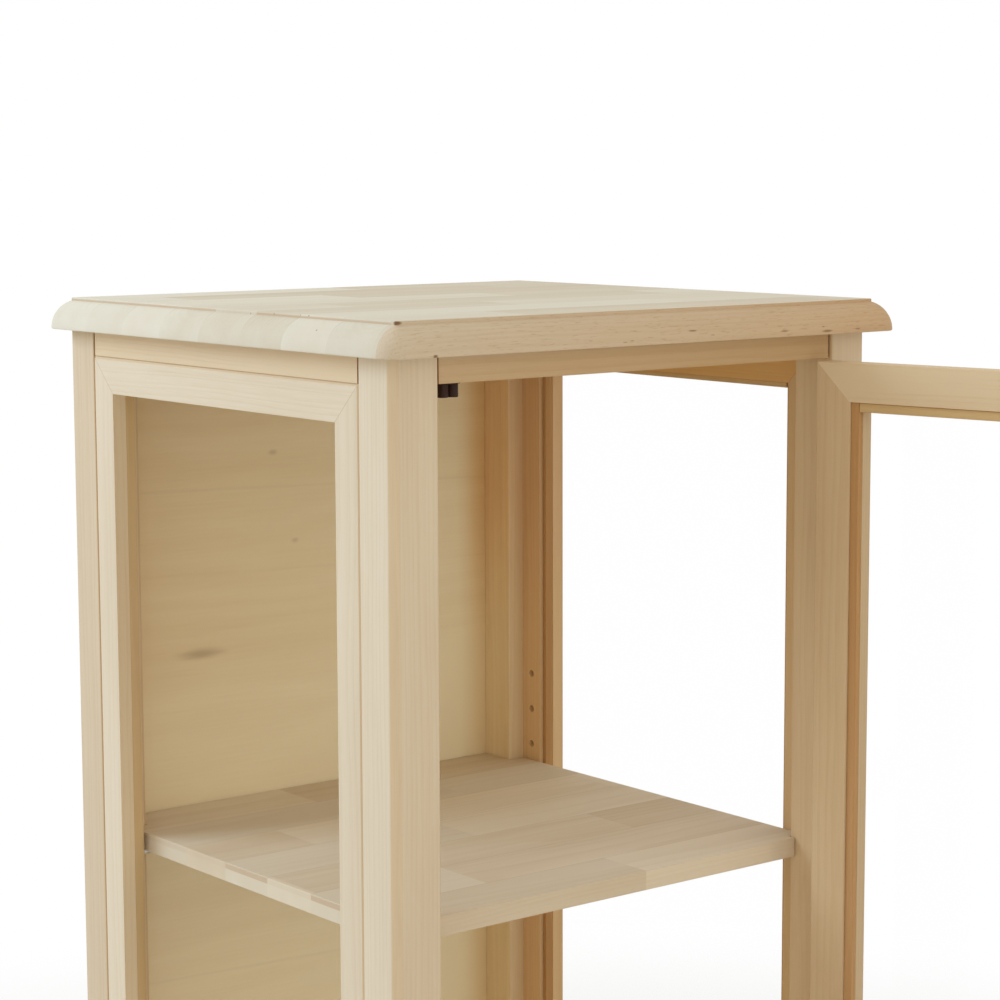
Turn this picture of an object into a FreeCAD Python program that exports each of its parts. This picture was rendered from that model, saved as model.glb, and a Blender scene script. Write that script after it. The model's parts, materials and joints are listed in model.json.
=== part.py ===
# Display cabinet in plain wood: posts and rails, glazed side frames, a glazed door and a moulded top.
# Millimetres; the front is towards -Y, +Z is up, the origin is on the floor under the carcass centre.
import FreeCAD, Part
import math
import os
import re
import Sketcher

Vector = FreeCAD.Vector
X, Y, Z = Vector(1, 0, 0), Vector(0, 1, 0), Vector(0, 0, 1)

doc = FreeCAD.newDocument("display_cabinet")
sheet = doc.addObject("Spreadsheet::Sheet", "Sizes")
pieces = []

SIZES = {
    "cabinet_height": 1200, "carcass_width": 456, "carcass_depth": 436,
    # Top board and its moulding
    "top_thickness": 24.5, "top_forward": 5, "top_flat_depth": 434,
    "moulding_reach": 16, "moulding_foot": 2, "moulding_height": 22, "moulding_radius": 22.3,
    # Posts and the glides under them
    "post_size": 39, "post_chamfer": 6, "post_arris": 1,
    "glide_height": 3, "glide_radius": 11, "glide_nail_radius": 1.5, "glide_nail_length": 12, "tip": 0.3,
    # Rails with stub tenons
    "rail_height": 20, "leg_clearance": 60, "rail_front_setback": 2, "rail_side_setback": 0.5,
    "rail_end_gap": 1.7, "tenon_length": 12, "tenon_thickness": 10, "tenon_shoulder": 3,
    "mortise_spare": 0.5,
    # Side frames, glass and glazing points
    "frame_width": 28.5, "frame_thickness": 23, "frame_lip": 11.6, "frame_rebate": 4.6,
    "frame_arris": 2, "cut_spare": 2,
    "glass_thickness": 3, "glass_play": 0.8,
    "glazing_width": 7, "glazing_length": 8, "glazing_thickness": 0.6,
    # Shelf-pin holes, shelf pins, shelves and bottom board
    "pin_hole_radius": 3, "pin_hole_depth": 10, "pin_hole_inset": 12, "pin_hole_pitch": 32,
    "upper_holes_start": 754.5, "lower_holes_start": 402.5,
    "shelf_pin_radius": 2.95, "shelf_pin_collar": 5, "shelf_pin_reach": 11,
    "upper_shelf_hole": 0, "lower_shelf_hole": 1,
    "shelf_thickness": 15, "shelf_front_margin": 33, "shelf_side_gap": 2, "shelf_post_gap": 1,
    "bottom_thickness": 16, "bottom_front_margin": 24, "bottom_play": 0.3,
    # Plywood back
    "back_thickness": 4.4, "back_rebate": 8, "back_play": 0.5, "back_end_margin": 2,
    "staple_crown": 10, "staple_leg": 12, "staple_width": 1.2, "staple_wire": 0.6,
    # Door and its swing
    "door_angle": 101.36, "hinge_axis_right": 188.4, "hinge_axis_forward": 220.6,
    "door_thickness": 19, "door_member": 37, "door_lip": 11.5, "door_rebate": 7.5, "door_arris": 1,
    "door_closing_gap": 1, "door_hinge_gap": 1.2, "door_top_gap": 1, "door_bottom_gap": 1.2,
    # Butt hinges
    "hinge_height": 50, "hinge_inset": 110, "leaf_thickness": 1.5, "leaf_let_in": 1,
    "leaf_reach": 12.6, "leaf_start": 3, "leaf_gap": 0.2, "knuckle_radius": 2.5, "knuckle_gap": 0.2,
    "hinge_pin_radius": 1.25, "hinge_pin_play": 0.05, "hinge_pin_grip": 0.02,
    # Catch, strike plate and knob
    "catch_centre": 161.1, "catch_front": 195.5, "catch_drop": 12, "catch_plate": 2.5,
    "catch_depth": 16, "pod_width": 8.2, "pod_spacing": 8.6,
    "magnet_size": 4, "magnet_length": 7, "magnet_play": 0.05,
    "strike_width": 34, "strike_height": 10, "strike_thickness": 1.2, "strike_top_margin": 1,
    "knob_height": 618, "knob_length": 26, "knob_radius": 14.4, "knob_neck": 6, "knob_foot": 9,
    "knob_screw_radius": 2,
    # Wood screws: short ones for fittings, long ones for the top
    "screw_radius": 1.3, "screw_head": 2.4, "screw_cone": 1.1, "screw_length": 14, "screw_play": 0.05,
    "top_screw_radius": 2, "top_screw_head": 4, "top_screw_cone": 2.2, "top_screw_length": 36,
}
for row, (name, size) in enumerate(SIZES.items(), start=1):
    sheet.set("A%d" % row, name)
    sheet.set("B%d" % row, str(size))
    sheet.setAlias("B%d" % row, name)
doc.recompute()

# Levels and faces that several pieces share
SOFFIT = "(cabinet_height - top_thickness)"
FRAME_TOP = f"({SOFFIT} - rail_height)"
FRAME_BASE = "(leg_clearance + rail_height)"
HALF_X, HALF_Y = "(carcass_width / 2)", "(carcass_depth / 2)"
POST_X, POST_Y = f"({HALF_X} - post_size)", f"({HALF_Y} - post_size)"
FRAME_INSIDE = f"({HALF_X} - frame_thickness)"
BACK_FACE = f"({HALF_Y} - back_thickness)"
DOOR_FACE = f"({HALF_Y} - rail_front_setback)"
DOOR_INSIDE = f"({DOOR_FACE} - door_thickness)"
DOOR_LEFT, DOOR_RIGHT = f"({POST_X} - door_closing_gap)", f"({POST_X} - door_hinge_gap)"
DOOR_TOP, DOOR_BASE = f"({FRAME_TOP} - door_top_gap)", f"({FRAME_BASE} + door_bottom_gap)"
HINGE_BASES = {"upper": f"({DOOR_TOP} - hinge_inset - hinge_height)",
               "lower": f"({DOOR_BASE} + hinge_inset)"}
SWING = ("placement(vector(hinge_axis_right; -hinge_axis_forward; 0); rotation(vector(0; 0; 1); door_angle))"
         " * placement(vector(-hinge_axis_right; hinge_axis_forward; 0); rotation(vector(0; 0; 1); 0)) * ")


def formula(text):
    """Formula whose size names point at the sheet."""
    return re.sub(r"[a-z]+(?:_[a-z]+)*", lambda m: ("Sizes." if m[0] in SIZES else "") + m[0], text)


def value(text):
    return float(sheet.evalExpression(formula(text)))


def point(x, y, z):
    return Vector(value(x), value(y), value(z))


# Drawing and building
def body(label):
    piece = doc.addObject("PartDesign::Body", label)
    piece.Label = label
    pieces.append(piece)
    return piece


def sketch(piece, plane, height="0"):
    """Empty sketch on one of the body's own planes, raised along +X, +Y or +Z."""
    drawn = piece.newObject("Sketcher::SketchObject", piece.Label + "_sketch")
    drawn.AttachmentSupport = [(next(o for o in piece.Origin.OriginFeatures if o.Role == plane), "")]
    drawn.MapMode = "FlatFace"
    sign = "-" if plane == "XZ_Plane" else ""
    drawn.setExpression("AttachmentOffset.Base.z", formula(f"{sign}({height})"))
    return drawn


def hold(drawn, geometry, end, x, y):
    """Dimension one point from the sketch origin."""
    for kind, text, axis in (("DistanceX", x, -2), ("DistanceY", y, -1)):
        if abs(value(text)) < 1e-9:
            drawn.addConstraint(Sketcher.Constraint("PointOnObject", geometry, end, axis))
        else:
            number = drawn.addConstraint(Sketcher.Constraint(kind, -1, 1, geometry, end, value(text)))
            drawn.setExpression("Constraints[%d]" % number, formula(text))


def outline(drawn, corners, arcs=None):
    """Closed outline; arcs gives the radius of the arc that leaves a corner, positive if it turns left."""
    arcs = arcs or {}
    spots = [Vector(value(x), value(y), 0) for x, y in corners]
    first, ends = drawn.GeometryCount, []
    for i, start in enumerate(spots):
        finish = spots[(i + 1) % len(spots)]
        if i not in arcs:
            drawn.addGeometry(Part.LineSegment(start, finish))
            ends.append((1, 2))
            continue
        radius, left = abs(value(arcs[i])), value(arcs[i]) > 0
        half = (finish - start) * 0.5
        aside = Vector(-half.y, half.x, 0).normalize() * (1 if left else -1)
        centre = start + half + aside * math.sqrt(max(radius ** 2 - half.Length ** 2, 0))
        rim = [centre + (p - centre).normalize() * radius for p in (start, centre - aside, finish)]
        drawn.addGeometry(Part.ArcOfCircle(*(rim if left else rim[::-1])))
        ends.append((1, 2) if left else (2, 1))
        number = drawn.addConstraint(Sketcher.Constraint("Radius", first + i, radius))
        drawn.setExpression("Constraints[%d]" % number, formula(f"abs({arcs[i]})"))
    for i, (x, y) in enumerate(corners):
        j = (i + 1) % len(corners)
        drawn.addConstraint(Sketcher.Constraint("Coincident", first + i, ends[i][1], first + j, ends[j][0]))
        hold(drawn, first + i, ends[i][0], x, y)


def box(x_from, x_to, y_from, y_to):
    return [(x_from, y_from), (x_to, y_from), (x_to, y_to), (x_from, y_to)]


def ring(drawn, x, y, radius):
    number = drawn.addGeometry(Part.Circle(Vector(value(x), value(y), 0), Z, value(radius)))
    size = drawn.addConstraint(Sketcher.Constraint("Radius", number, value(radius)))
    drawn.setExpression("Constraints[%d]" % size, formula(radius))
    hold(drawn, number, 3, x, y)


def pad(piece, drawn, length, backwards=False):
    feature = piece.newObject("PartDesign::Pad", piece.Label + "_pad")
    feature.Profile = drawn
    feature.Reversed = backwards
    feature.setExpression("Length", formula(length))


def pocket(piece, drawn, depth=None, backwards=False):
    """Cut of a given depth, or right through; it runs against the plane's own axis."""
    feature = piece.newObject("PartDesign::Pocket", piece.Label + "_pocket")
    feature.Profile = drawn
    feature.Reversed = backwards
    if depth:
        feature.setExpression("Length", formula(depth))
    else:
        feature.Type = "ThroughAll"


def turn(piece, corners, arcs=None):
    """Piece turned about its own Z axis from a half profile."""
    drawn = sketch(piece, "XZ_Plane")
    outline(drawn, corners, arcs)
    feature = piece.newObject("PartDesign::Revolution", piece.Label + "_turning")
    feature.Profile = drawn
    feature.ReferenceAxis = (drawn, ["V_Axis"])


def place(piece, base, x_way=X, y_way=Y, swings=False):
    """Where the piece's own origin goes and which way its X and Y run; door pieces swing open."""
    way = FreeCAD.Rotation(x_way, y_way, x_way.cross(y_way), "XYZ")
    turned = "rotation(vector(%.12f; %.12f; %.12f); %.9f)" % (*way.Axis, math.degrees(way.Angle))
    text = "placement(vector(%s; %s; %s); %s)" % (*base, turned)
    piece.setExpression("Placement", formula((SWING if swings else "") + text))


def slab(label, plane, corners, thickness, base, swings=False):
    """Flat piece of even thickness that grows along +X, +Y or +Z from its plane."""
    piece = body(label)
    drawn = sketch(piece, plane)
    outline(drawn, corners)
    pad(piece, drawn, thickness, backwards=plane == "XZ_Plane")
    place(piece, base, swings=swings)
    return piece


def group(label, shape, spots, swings=False):
    """Like pieces as separate solids in one node; each spot is a point, the way of Z and the way of X."""
    solids = []
    for spot, z_way, x_way in spots:
        way = FreeCAD.Rotation(x_way, z_way.cross(x_way), z_way, "ZXY")
        solids.append(shape.copy())
        solids[-1].Placement = FreeCAD.Placement(spot, way)
    feature = doc.addObject("Part::Feature", label)
    feature.Label = label
    feature.Shape = Part.makeCompound(solids)
    if swings:
        feature.setExpression("Placement", formula(SWING.rstrip(" *")))
    pieces.append(feature)


def faceted(flats, *profile):
    """Small upright solid with flat sides, from (radius, height) formulas."""
    spokes = [FreeCAD.Rotation(Z, 360 * i / flats) for i in range(flats + 1)]
    rings = [[spoke.multVec(Vector(value(radius), 0, value(height))) for spoke in spokes]
             for radius, height in profile]
    sides = [rings[0], rings[-1]]
    for low, high in zip(rings, rings[1:]):
        sides += [[low[i], low[i + 1], high[i + 1], high[i], low[i]] for i in range(flats)]
    solid = Part.makeSolid(Part.makeShell([Part.Face(Part.makePolygon(side)) for side in sides]))
    if solid.Volume < 0:
        solid.reverse()
    return solid


def wood_screw(kind):
    """Countersunk screw that points along +Z, its flat head at zero."""
    radius, head, cone, length = (f"{kind}_{part}" for part in ("radius", "head", "cone", "length"))
    return faceted(8, (head, "0"), (radius, cone), (radius, f"{length} - {head}"), ("tip", length))


# Posts: the outer corner is chamfered, rails enter the two inner faces, the own origin is the outer corner
FRONT_TENON = "((rail_front_setback + post_size) / 2)"
SIDE_TENON = "((rail_side_setback + post_size) / 2)"
REAR_TENON = "((back_thickness + post_size) / 2)"


def post(label, base, x_way, y_way, x_face_tenon, y_face_tenon, x_corner, y_corner):
    piece = body(label)
    drawn = sketch(piece, "XY_Plane")
    outline(drawn, [("post_chamfer", "0"), *x_corner, ("post_size", "post_size"), *y_corner,
                    ("0", "post_chamfer")])
    pad(piece, drawn, f"{SOFFIT} - glide_height")
    for plane, tenon, backwards in (("YZ_Plane", x_face_tenon, False), ("XZ_Plane", y_face_tenon, True)):
        drawn = sketch(piece, plane, "post_size")
        for rail in ("leg_clearance", FRAME_TOP):
            outline(drawn, box(f"{tenon} - tenon_thickness / 2", f"{tenon} + tenon_thickness / 2",
                               f"{rail} + tenon_shoulder - glide_height",
                               f"{rail} + rail_height - tenon_shoulder - glide_height"))
        pocket(piece, drawn, "tenon_length + mortise_spare", backwards)
    place(piece, (*base, "glide_height"), x_way, y_way)
    return piece


EASED_X = [("post_size - post_arris", "0"), ("post_size", "post_arris")]
EASED_Y = [("post_arris", "post_size"), ("0", "post_size - post_arris")]
REBATED_X = [("post_size - back_rebate", "0"), ("post_size - back_rebate", "back_thickness"),
             ("post_size", "back_thickness")]
REBATED_Y = [("back_thickness", "post_size"), ("back_thickness", "post_size - back_rebate"),
             ("0", "post_size - back_rebate")]
SQUARE_X, SQUARE_Y = [("post_size", "0")], [("0", "post_size")]

post("post_front_left", (f"-{HALF_X}", f"-{HALF_Y}"), X, Y, FRONT_TENON, SIDE_TENON, EASED_X, SQUARE_Y)
hinge_post = post("post_front_right", (HALF_X, f"-{HALF_Y}"), Y, -X, SIDE_TENON, FRONT_TENON,
                  SQUARE_X, EASED_Y)
post("post_rear_right", (HALF_X, HALF_Y), -X, -Y, REAR_TENON, SIDE_TENON, REBATED_X, SQUARE_Y)
post("post_rear_left", (f"-{HALF_X}", HALF_Y), -Y, X, SIDE_TENON, REAR_TENON, SQUARE_X, REBATED_Y)

# Recesses for the hinge leaves in the inner face of the front right post
drawn = sketch(hinge_post, "XZ_Plane", "post_size")
LEAF_END = f"(leaf_reach - hinge_axis_forward + {HALF_Y})"
for hinge_base in HINGE_BASES.values():
    outline(drawn, box("0", LEAF_END, f"{hinge_base} - glide_height",
                       f"{hinge_base} + hinge_height - glide_height"))
pocket(hinge_post, drawn, "leaf_let_in", backwards=True)

# Floor glides: a disc with a nail that is driven into the post
glide = faceted(16, ("glide_radius - 1", "0"), ("glide_radius", "1"), ("glide_radius", "glide_height"),
                ("glide_nail_radius", "glide_height"), ("glide_nail_radius", "glide_nail_length"),
                ("tip", "glide_nail_length + glide_nail_radius"))
group("floor_glides", glide, [(point(f"{i} * ({HALF_X} - post_size / 2)", f"{j} * ({HALF_Y} - post_size / 2)",
                                     "0"), Z, X) for i in (-1, 1) for j in (-1, 1)])


# Rails: own X runs along the rail, own Y from its outer face inwards; stub tenons bridge the open joint
def rail(label, length, depth, base, x_way, y_way):
    piece = body(label)
    drawn = sketch(piece, "XY_Plane")
    outline(drawn, box("rail_end_gap", f"{length} - rail_end_gap", "0", depth))
    pad(piece, drawn, "rail_height")
    drawn = sketch(piece, "XY_Plane", "tenon_shoulder")
    outline(drawn, box("-tenon_length", f"{length} + tenon_length", f"({depth} - tenon_thickness) / 2",
                       f"({depth} + tenon_thickness) / 2"))
    pad(piece, drawn, "rail_height - 2 * tenon_shoulder")
    place(piece, base, x_way, y_way)


SIDE_FACE = f"({HALF_X} - rail_side_setback)"
for level, height in (("bottom", "leg_clearance"), ("top", FRAME_TOP)):
    rail(f"{level}_rail_front", f"2 * {POST_X}", "post_size - rail_front_setback",
         (f"-{POST_X}", f"-{DOOR_FACE}", height), X, Y)
    rail(f"{level}_rail_rear", f"2 * {POST_X}", "post_size - back_thickness",
         (POST_X, BACK_FACE, height), -X, -Y)
    rail(f"{level}_rail_left", f"2 * {POST_Y}", "post_size - rail_side_setback",
         (f"-{SIDE_FACE}", POST_Y, height), -Y, X)
    rail(f"{level}_rail_right", f"2 * {POST_Y}", "post_size - rail_side_setback",
         (SIDE_FACE, f"-{POST_Y}", height), Y, -X)


# Mitred frame members: own X runs along the outer edge, Y inwards to the opening, Z in from the outer face
def mitred_member(label, kind, length, base, x_way, y_way, swings=False):
    width, thickness = ("frame_width", "frame_thickness") if kind == "frame" else \
                       ("door_member", "door_thickness")
    lip, rebate, arris = (f"{kind}_{part}" for part in ("lip", "rebate", "arris"))
    piece = body(label)
    drawn = sketch(piece, "YZ_Plane")
    outline(drawn, [(arris, "0"), (width, "0"), (width, lip), (f"{width} - {rebate}", lip),
                    (f"{width} - {rebate}", thickness), ("0", thickness), ("0", arris)])
    pad(piece, drawn, length)
    drawn = sketch(piece, "XY_Plane")
    past = f"{width} + cut_spare"
    outline(drawn, [("-cut_spare", "-cut_spare"), (past, past), ("-cut_spare", past)])
    outline(drawn, [(f"{length} + cut_spare", "-cut_spare"), (f"{length} + cut_spare", past),
                    (f"{length} - {width} - cut_spare", past)])
    pocket(piece, drawn, backwards=True)
    place(piece, base, x_way, y_way, swings)
    return piece


def drill_pin_holes(stile, runs_up):
    """Rows of shelf-pin holes in a stile's inner face, each with twelve flats round the pin's circle."""
    drawn = sketch(stile, "XY_Plane", "frame_thickness")
    for start, count in (("upper_holes_start", 4), ("lower_holes_start", 2)):
        for step in range(count):
            height = f"({start} + {step} * pin_hole_pitch)"
            along = f"{height} - {FRAME_BASE}" if runs_up else f"{FRAME_TOP} - {height}"
            reach = f"pin_hole_radius / {math.cos(math.pi / 12):.5f}"
            turns = [math.tau * (i + 0.5) / 12 for i in range(12)]
            outline(drawn, [(f"{along} + {math.cos(a):.5f} * {reach}",
                             f"pin_hole_inset + {math.sin(a):.5f} * {reach}") for a in turns])
    pocket(stile, drawn, "pin_hole_depth")


FRAME_TALL, FRAME_LONG = f"({FRAME_TOP} - {FRAME_BASE})", f"(2 * {POST_Y})"
for side, sign, face in (("left", -1, f"-{HALF_X}"), ("right", 1, HALF_X)):
    front, rear = f"{sign} * -{POST_Y}", f"{sign} * {POST_Y}"
    along = Y * sign
    mitred_member(f"{side}_frame_top", "frame", FRAME_LONG, (face, front, FRAME_TOP), along, -Z)
    mitred_member(f"{side}_frame_bottom", "frame", FRAME_LONG, (face, rear, FRAME_BASE), -along, Z)
    rising = mitred_member(f"{side}_frame_{'front' if sign > 0 else 'rear'}_stile", "frame", FRAME_TALL,
                           (face, front, FRAME_BASE), Z, along)
    falling = mitred_member(f"{side}_frame_{'rear' if sign > 0 else 'front'}_stile", "frame", FRAME_TALL,
                            (face, rear, FRAME_TOP), -Z, -along)
    drill_pin_holes(rising, runs_up=True)
    drill_pin_holes(falling, runs_up=False)

# Side glass, from the inside against the lip, and the points that hold it
PANE_Y = f"({POST_Y} - frame_width + frame_rebate - glass_play)"
PANE_MARGIN = "(frame_width - frame_rebate + glass_play)"
WALL_Y = f"({POST_Y} - frame_width + frame_rebate)"
WALL_MARGIN = "(frame_width - frame_rebate)"
pane = box(f"-{PANE_Y}", PANE_Y, f"{FRAME_BASE} + {PANE_MARGIN}", f"{FRAME_TOP} - {PANE_MARGIN}")
slab("left_glass", "YZ_Plane", pane, "glass_thickness", (f"-{HALF_X} + frame_lip", "0", "0"))
slab("right_glass", "YZ_Plane", pane, "glass_thickness",
     (f"{HALF_X} - frame_lip - glass_thickness", "0", "0"))

arrow = Part.Face(Part.makePolygon([point("-glazing_length / 2", "0", "0"),
                                    point("glazing_length / 2", "-glazing_width / 2", "0"),
                                    point("glazing_length / 2", "glazing_width / 2", "0"),
                                    point("-glazing_length / 2", "0", "0")]))
glazing_point = arrow.extrude(point("0", "0", "glazing_thickness"))
for side, sign in (("left", -1), ("right", 1)):
    inward = X * -sign
    plane_x = f"{sign} * ({HALF_X} - frame_lip - glass_thickness)"
    spots = []
    for step in (0.14, 0.4, 0.66):
        height = f"{FRAME_BASE} + {step} * {FRAME_TALL}"
        spots += [(point(plane_x, f"{j} * {WALL_Y}", height), inward, Y * -j) for j in (-1, 1)]
    for step in (-0.5, 0.5):
        spots += [(point(plane_x, f"{step} * {WALL_Y}", f"{FRAME_BASE} + {WALL_MARGIN}"), inward, Z),
                  (point(plane_x, f"{step} * {WALL_Y}", f"{FRAME_TOP} - {WALL_MARGIN}"), inward, -Z)]
    group(f"{side}_glazing_points", glazing_point, spots)


# Bottom board and shelves, notched round the posts
def notched_board(label, side_x, front_y, rear_y, post_gap, thickness, height):
    near_x, near_y = f"({POST_X} - {post_gap})", f"({POST_Y} - {post_gap})"
    slab(label, "XY_Plane",
         [(f"-{near_x}", front_y), (near_x, front_y), (near_x, f"-{near_y}"), (side_x, f"-{near_y}"),
          (side_x, near_y), (near_x, near_y), (near_x, rear_y), (f"-{near_x}", rear_y),
          (f"-{near_x}", near_y), (f"-{side_x}", near_y), (f"-{side_x}", f"-{near_y}"),
          (f"-{near_x}", f"-{near_y}")],
         thickness, ("0", "0", height))


notched_board("bottom_board", f"({FRAME_INSIDE} - bottom_play)", f"-{HALF_Y} + bottom_front_margin",
              BACK_FACE, "bottom_play", "bottom_thickness", FRAME_BASE)

# Shelf pins and the shelves on them
shelf_pin = faceted(10, ("shelf_pin_radius", "0"), ("shelf_pin_radius", "pin_hole_depth - 0.5"),
                    ("shelf_pin_collar", "pin_hole_depth - 0.5"), ("shelf_pin_collar", "pin_hole_depth + 1"),
                    ("shelf_pin_radius", "pin_hole_depth + 1"),
                    ("shelf_pin_radius", "pin_hole_depth + shelf_pin_reach"))
for shelf in ("upper", "lower"):
    level = f"({shelf}_holes_start + {shelf}_shelf_hole * pin_hole_pitch)"
    group(f"{shelf}_shelf_pins", shelf_pin,
          [(point(f"{i} * ({FRAME_INSIDE} + pin_hole_depth - 0.5)", f"{j} * ({POST_Y} - pin_hole_inset)",
                  level), X * -i, Z) for i in (-1, 1) for j in (-1, 1)])
    notched_board(f"{shelf}_shelf", f"({FRAME_INSIDE} - shelf_side_gap)", f"-{HALF_Y} + shelf_front_margin",
                  f"({BACK_FACE} - shelf_post_gap)", "shelf_post_gap", "shelf_thickness",
                  f"{level} + shelf_pin_radius")

# Back panel in the rebates of the rear posts, stapled to posts and rails
slab("back_panel", "XZ_Plane",
     box(f"-{POST_X} - back_rebate + back_play", f"{POST_X} + back_rebate - back_play",
         "leg_clearance + back_end_margin", f"{SOFFIT} - back_end_margin"),
     "back_thickness", ("0", BACK_FACE, "0"))
bent_wire = [("-staple_crown / 2", "-staple_wire"), ("staple_crown / 2", "-staple_wire"),
             ("staple_crown / 2", "staple_leg"), ("staple_crown / 2 - staple_wire", "staple_leg"),
             ("staple_crown / 2 - staple_wire", "0"), ("staple_wire - staple_crown / 2", "0"),
             ("staple_wire - staple_crown / 2", "staple_leg"), ("-staple_crown / 2", "staple_leg")]
spots = [point(x, "-staple_width / 2", z) for x, z in bent_wire]
staple = Part.Face(Part.makePolygon(spots + spots[:1])).extrude(point("0", "staple_width", "0"))
spots = [(point(f"{i} * ({POST_X} + back_rebate / 2)", HALF_Y, f"leg_clearance + 60 + {step} * 200"), -Y, Z)
         for i in (-1, 1) for step in range(6)]
spots += [(point(f"{i} * 0.6 * {POST_X}", HALF_Y, f"{height} + rail_height / 2"), -Y, X)
          for i in (-1, 0, 1) for height in ("leg_clearance", FRAME_TOP)]
group("back_panel_staples", staple, spots)

# Top board: a flat core with a cove and quarter-round moulding run round it
top = body("top_board")
FLAT_X, FLAT_FRONT = HALF_X, "(-top_flat_depth / 2 - top_forward)"
FLAT_REAR = "(top_flat_depth / 2 - top_forward)"
drawn = sketch(top, "XY_Plane")
outline(drawn, box(f"-{FLAT_X}", FLAT_X, FLAT_FRONT, FLAT_REAR))
pad(top, drawn, "top_thickness")
path = sketch(top, "XY_Plane")
outline(path, [("0", FLAT_FRONT), (FLAT_X, FLAT_FRONT), (FLAT_X, FLAT_REAR), (f"-{FLAT_X}", FLAT_REAR),
               (f"-{FLAT_X}", FLAT_FRONT)])
drawn = sketch(top, "YZ_Plane")
outline(drawn, [(FLAT_FRONT, "0"), (FLAT_FRONT, "moulding_height"),
                (f"{FLAT_FRONT} - moulding_reach", "moulding_foot"), (f"{FLAT_FRONT} - moulding_reach", "0")],
        arcs={1: "moulding_radius"})
moulding = top.newObject("PartDesign::AdditivePipe", "top_board_moulding")
moulding.Profile = drawn
moulding.Spine = (path, ["Edge%d" % i for i in range(1, 6)])
moulding.Transition = "Round corner"
place(top, ("0", "0", SOFFIT))

# Screws up through the rails into the top
group("top_fixing_screws", wood_screw("top_screw"),
      [(point(f"{i} * ({FRAME_INSIDE} + {POST_X}) / 2", f"{j} * 120", FRAME_TOP), Z, X)
       for i in (-1, 1) for j in (-1, 1)] +
      [(point(f"{i} * 100", f"{j} * ({HALF_Y} - 20.5)", FRAME_TOP), Z, X) for i in (-1, 1) for j in (-1, 1)])

# Door: modelled shut, then swung open with everything on it
DOOR_WIDE, DOOR_TALL = f"({DOOR_LEFT} + {DOOR_RIGHT})", f"({DOOR_TOP} - {DOOR_BASE})"
mitred_member("door_top_rail", "door", DOOR_WIDE, (f"-{DOOR_LEFT}", f"-{DOOR_FACE}", DOOR_TOP), X, -Z, True)
mitred_member("door_bottom_rail", "door", DOOR_WIDE, (DOOR_RIGHT, f"-{DOOR_FACE}", DOOR_BASE), -X, Z, True)
hinge_stile = mitred_member("door_hinge_stile", "door", DOOR_TALL,
                            (DOOR_RIGHT, f"-{DOOR_FACE}", DOOR_TOP), -Z, -X, True)
closing_stile = mitred_member("door_closing_stile", "door", DOOR_TALL,
                              (f"-{DOOR_LEFT}", f"-{DOOR_FACE}", DOOR_BASE), Z, X, True)

# Recesses for the hinge leaves in the hinge stile, and the knob screw's hole in the other one
drawn = sketch(hinge_stile, "XZ_Plane")
for start in ("hinge_inset", f"({DOOR_TALL} - hinge_inset - hinge_height)"):
    outline(drawn, box(start, f"{start} + hinge_height", "0", f"{LEAF_END} - rail_front_setback"))
pocket(hinge_stile, drawn, "leaf_let_in")
drawn = sketch(closing_stile, "XY_Plane", "door_thickness")
ring(drawn, f"knob_height - {DOOR_BASE}", "(door_member - door_rebate) / 2", "knob_screw_radius + 0.2")
pocket(closing_stile, drawn)

# Door glass and its glazing points
PANE = "(door_member - door_rebate + glass_play)"
WALL = "(door_member - door_rebate)"
slab("door_glass", "XZ_Plane",
     box(f"-{DOOR_LEFT} + {PANE}", f"{DOOR_RIGHT} - {PANE}", f"{DOOR_BASE} + {PANE}", f"{DOOR_TOP} - {PANE}"),
     "glass_thickness", ("0", f"-{DOOR_FACE} + door_lip", "0"), swings=True)
GLASS_INSIDE = f"(-{DOOR_FACE} + door_lip + glass_thickness)"
spots = []
for step in (0.14, 0.4, 0.66):
    height = f"{DOOR_BASE} + {step} * {DOOR_TALL}"
    spots += [(point(f"-{DOOR_LEFT} + {WALL}", GLASS_INSIDE, height), Y, X),
              (point(f"{DOOR_RIGHT} - {WALL}", GLASS_INSIDE, height), Y, -X)]
for step in (-50, 50):
    spots += [(point(f"{step}", GLASS_INSIDE, f"{DOOR_BASE} + {WALL}"), Y, Z),
              (point(f"{step}", GLASS_INSIDE, f"{DOOR_TOP} - {WALL}"), Y, -Z)]
group("door_glazing_points", glazing_point, spots, swings=True)


# Butt hinges: own Z is the pin, own Y runs back along the leaf, the leaf lies on the side given by sign
def hinge_leaf(label, base, sign, knuckles, bore, swings):
    piece = body(label)
    near, far = f"{sign} * leaf_gap / 2", f"{sign} * (leaf_gap / 2 + leaf_thickness)"
    drawn = sketch(piece, "XY_Plane")
    outline(drawn, box(near, far, "leaf_start", "leaf_reach"))
    pad(piece, drawn, "hinge_height")
    length = "hinge_height / 3 - knuckle_gap"
    for number in knuckles:
        start = f"{number} * hinge_height / 3 + knuckle_gap / 2"
        drawn = sketch(piece, "XY_Plane", start)
        outline(drawn, box(near, far, "0", "leaf_start"))
        pad(piece, drawn, length)
        drawn = sketch(piece, "XY_Plane", start)
        ring(drawn, "0", "0", "knuckle_radius")
        pad(piece, drawn, length)
    drawn = sketch(piece, "XY_Plane", "hinge_height")
    ring(drawn, "0", "0", f"hinge_pin_radius + {bore}")
    pocket(piece, drawn)
    drawn = sketch(piece, "YZ_Plane", "leaf_gap + leaf_thickness")
    for part in (0.2, 0.8):
        ring(drawn, "(leaf_start + leaf_reach) / 2", f"{part} * hinge_height", "screw_head + screw_play")
    pocket(piece, drawn)
    place(piece, base, swings=swings)


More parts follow.
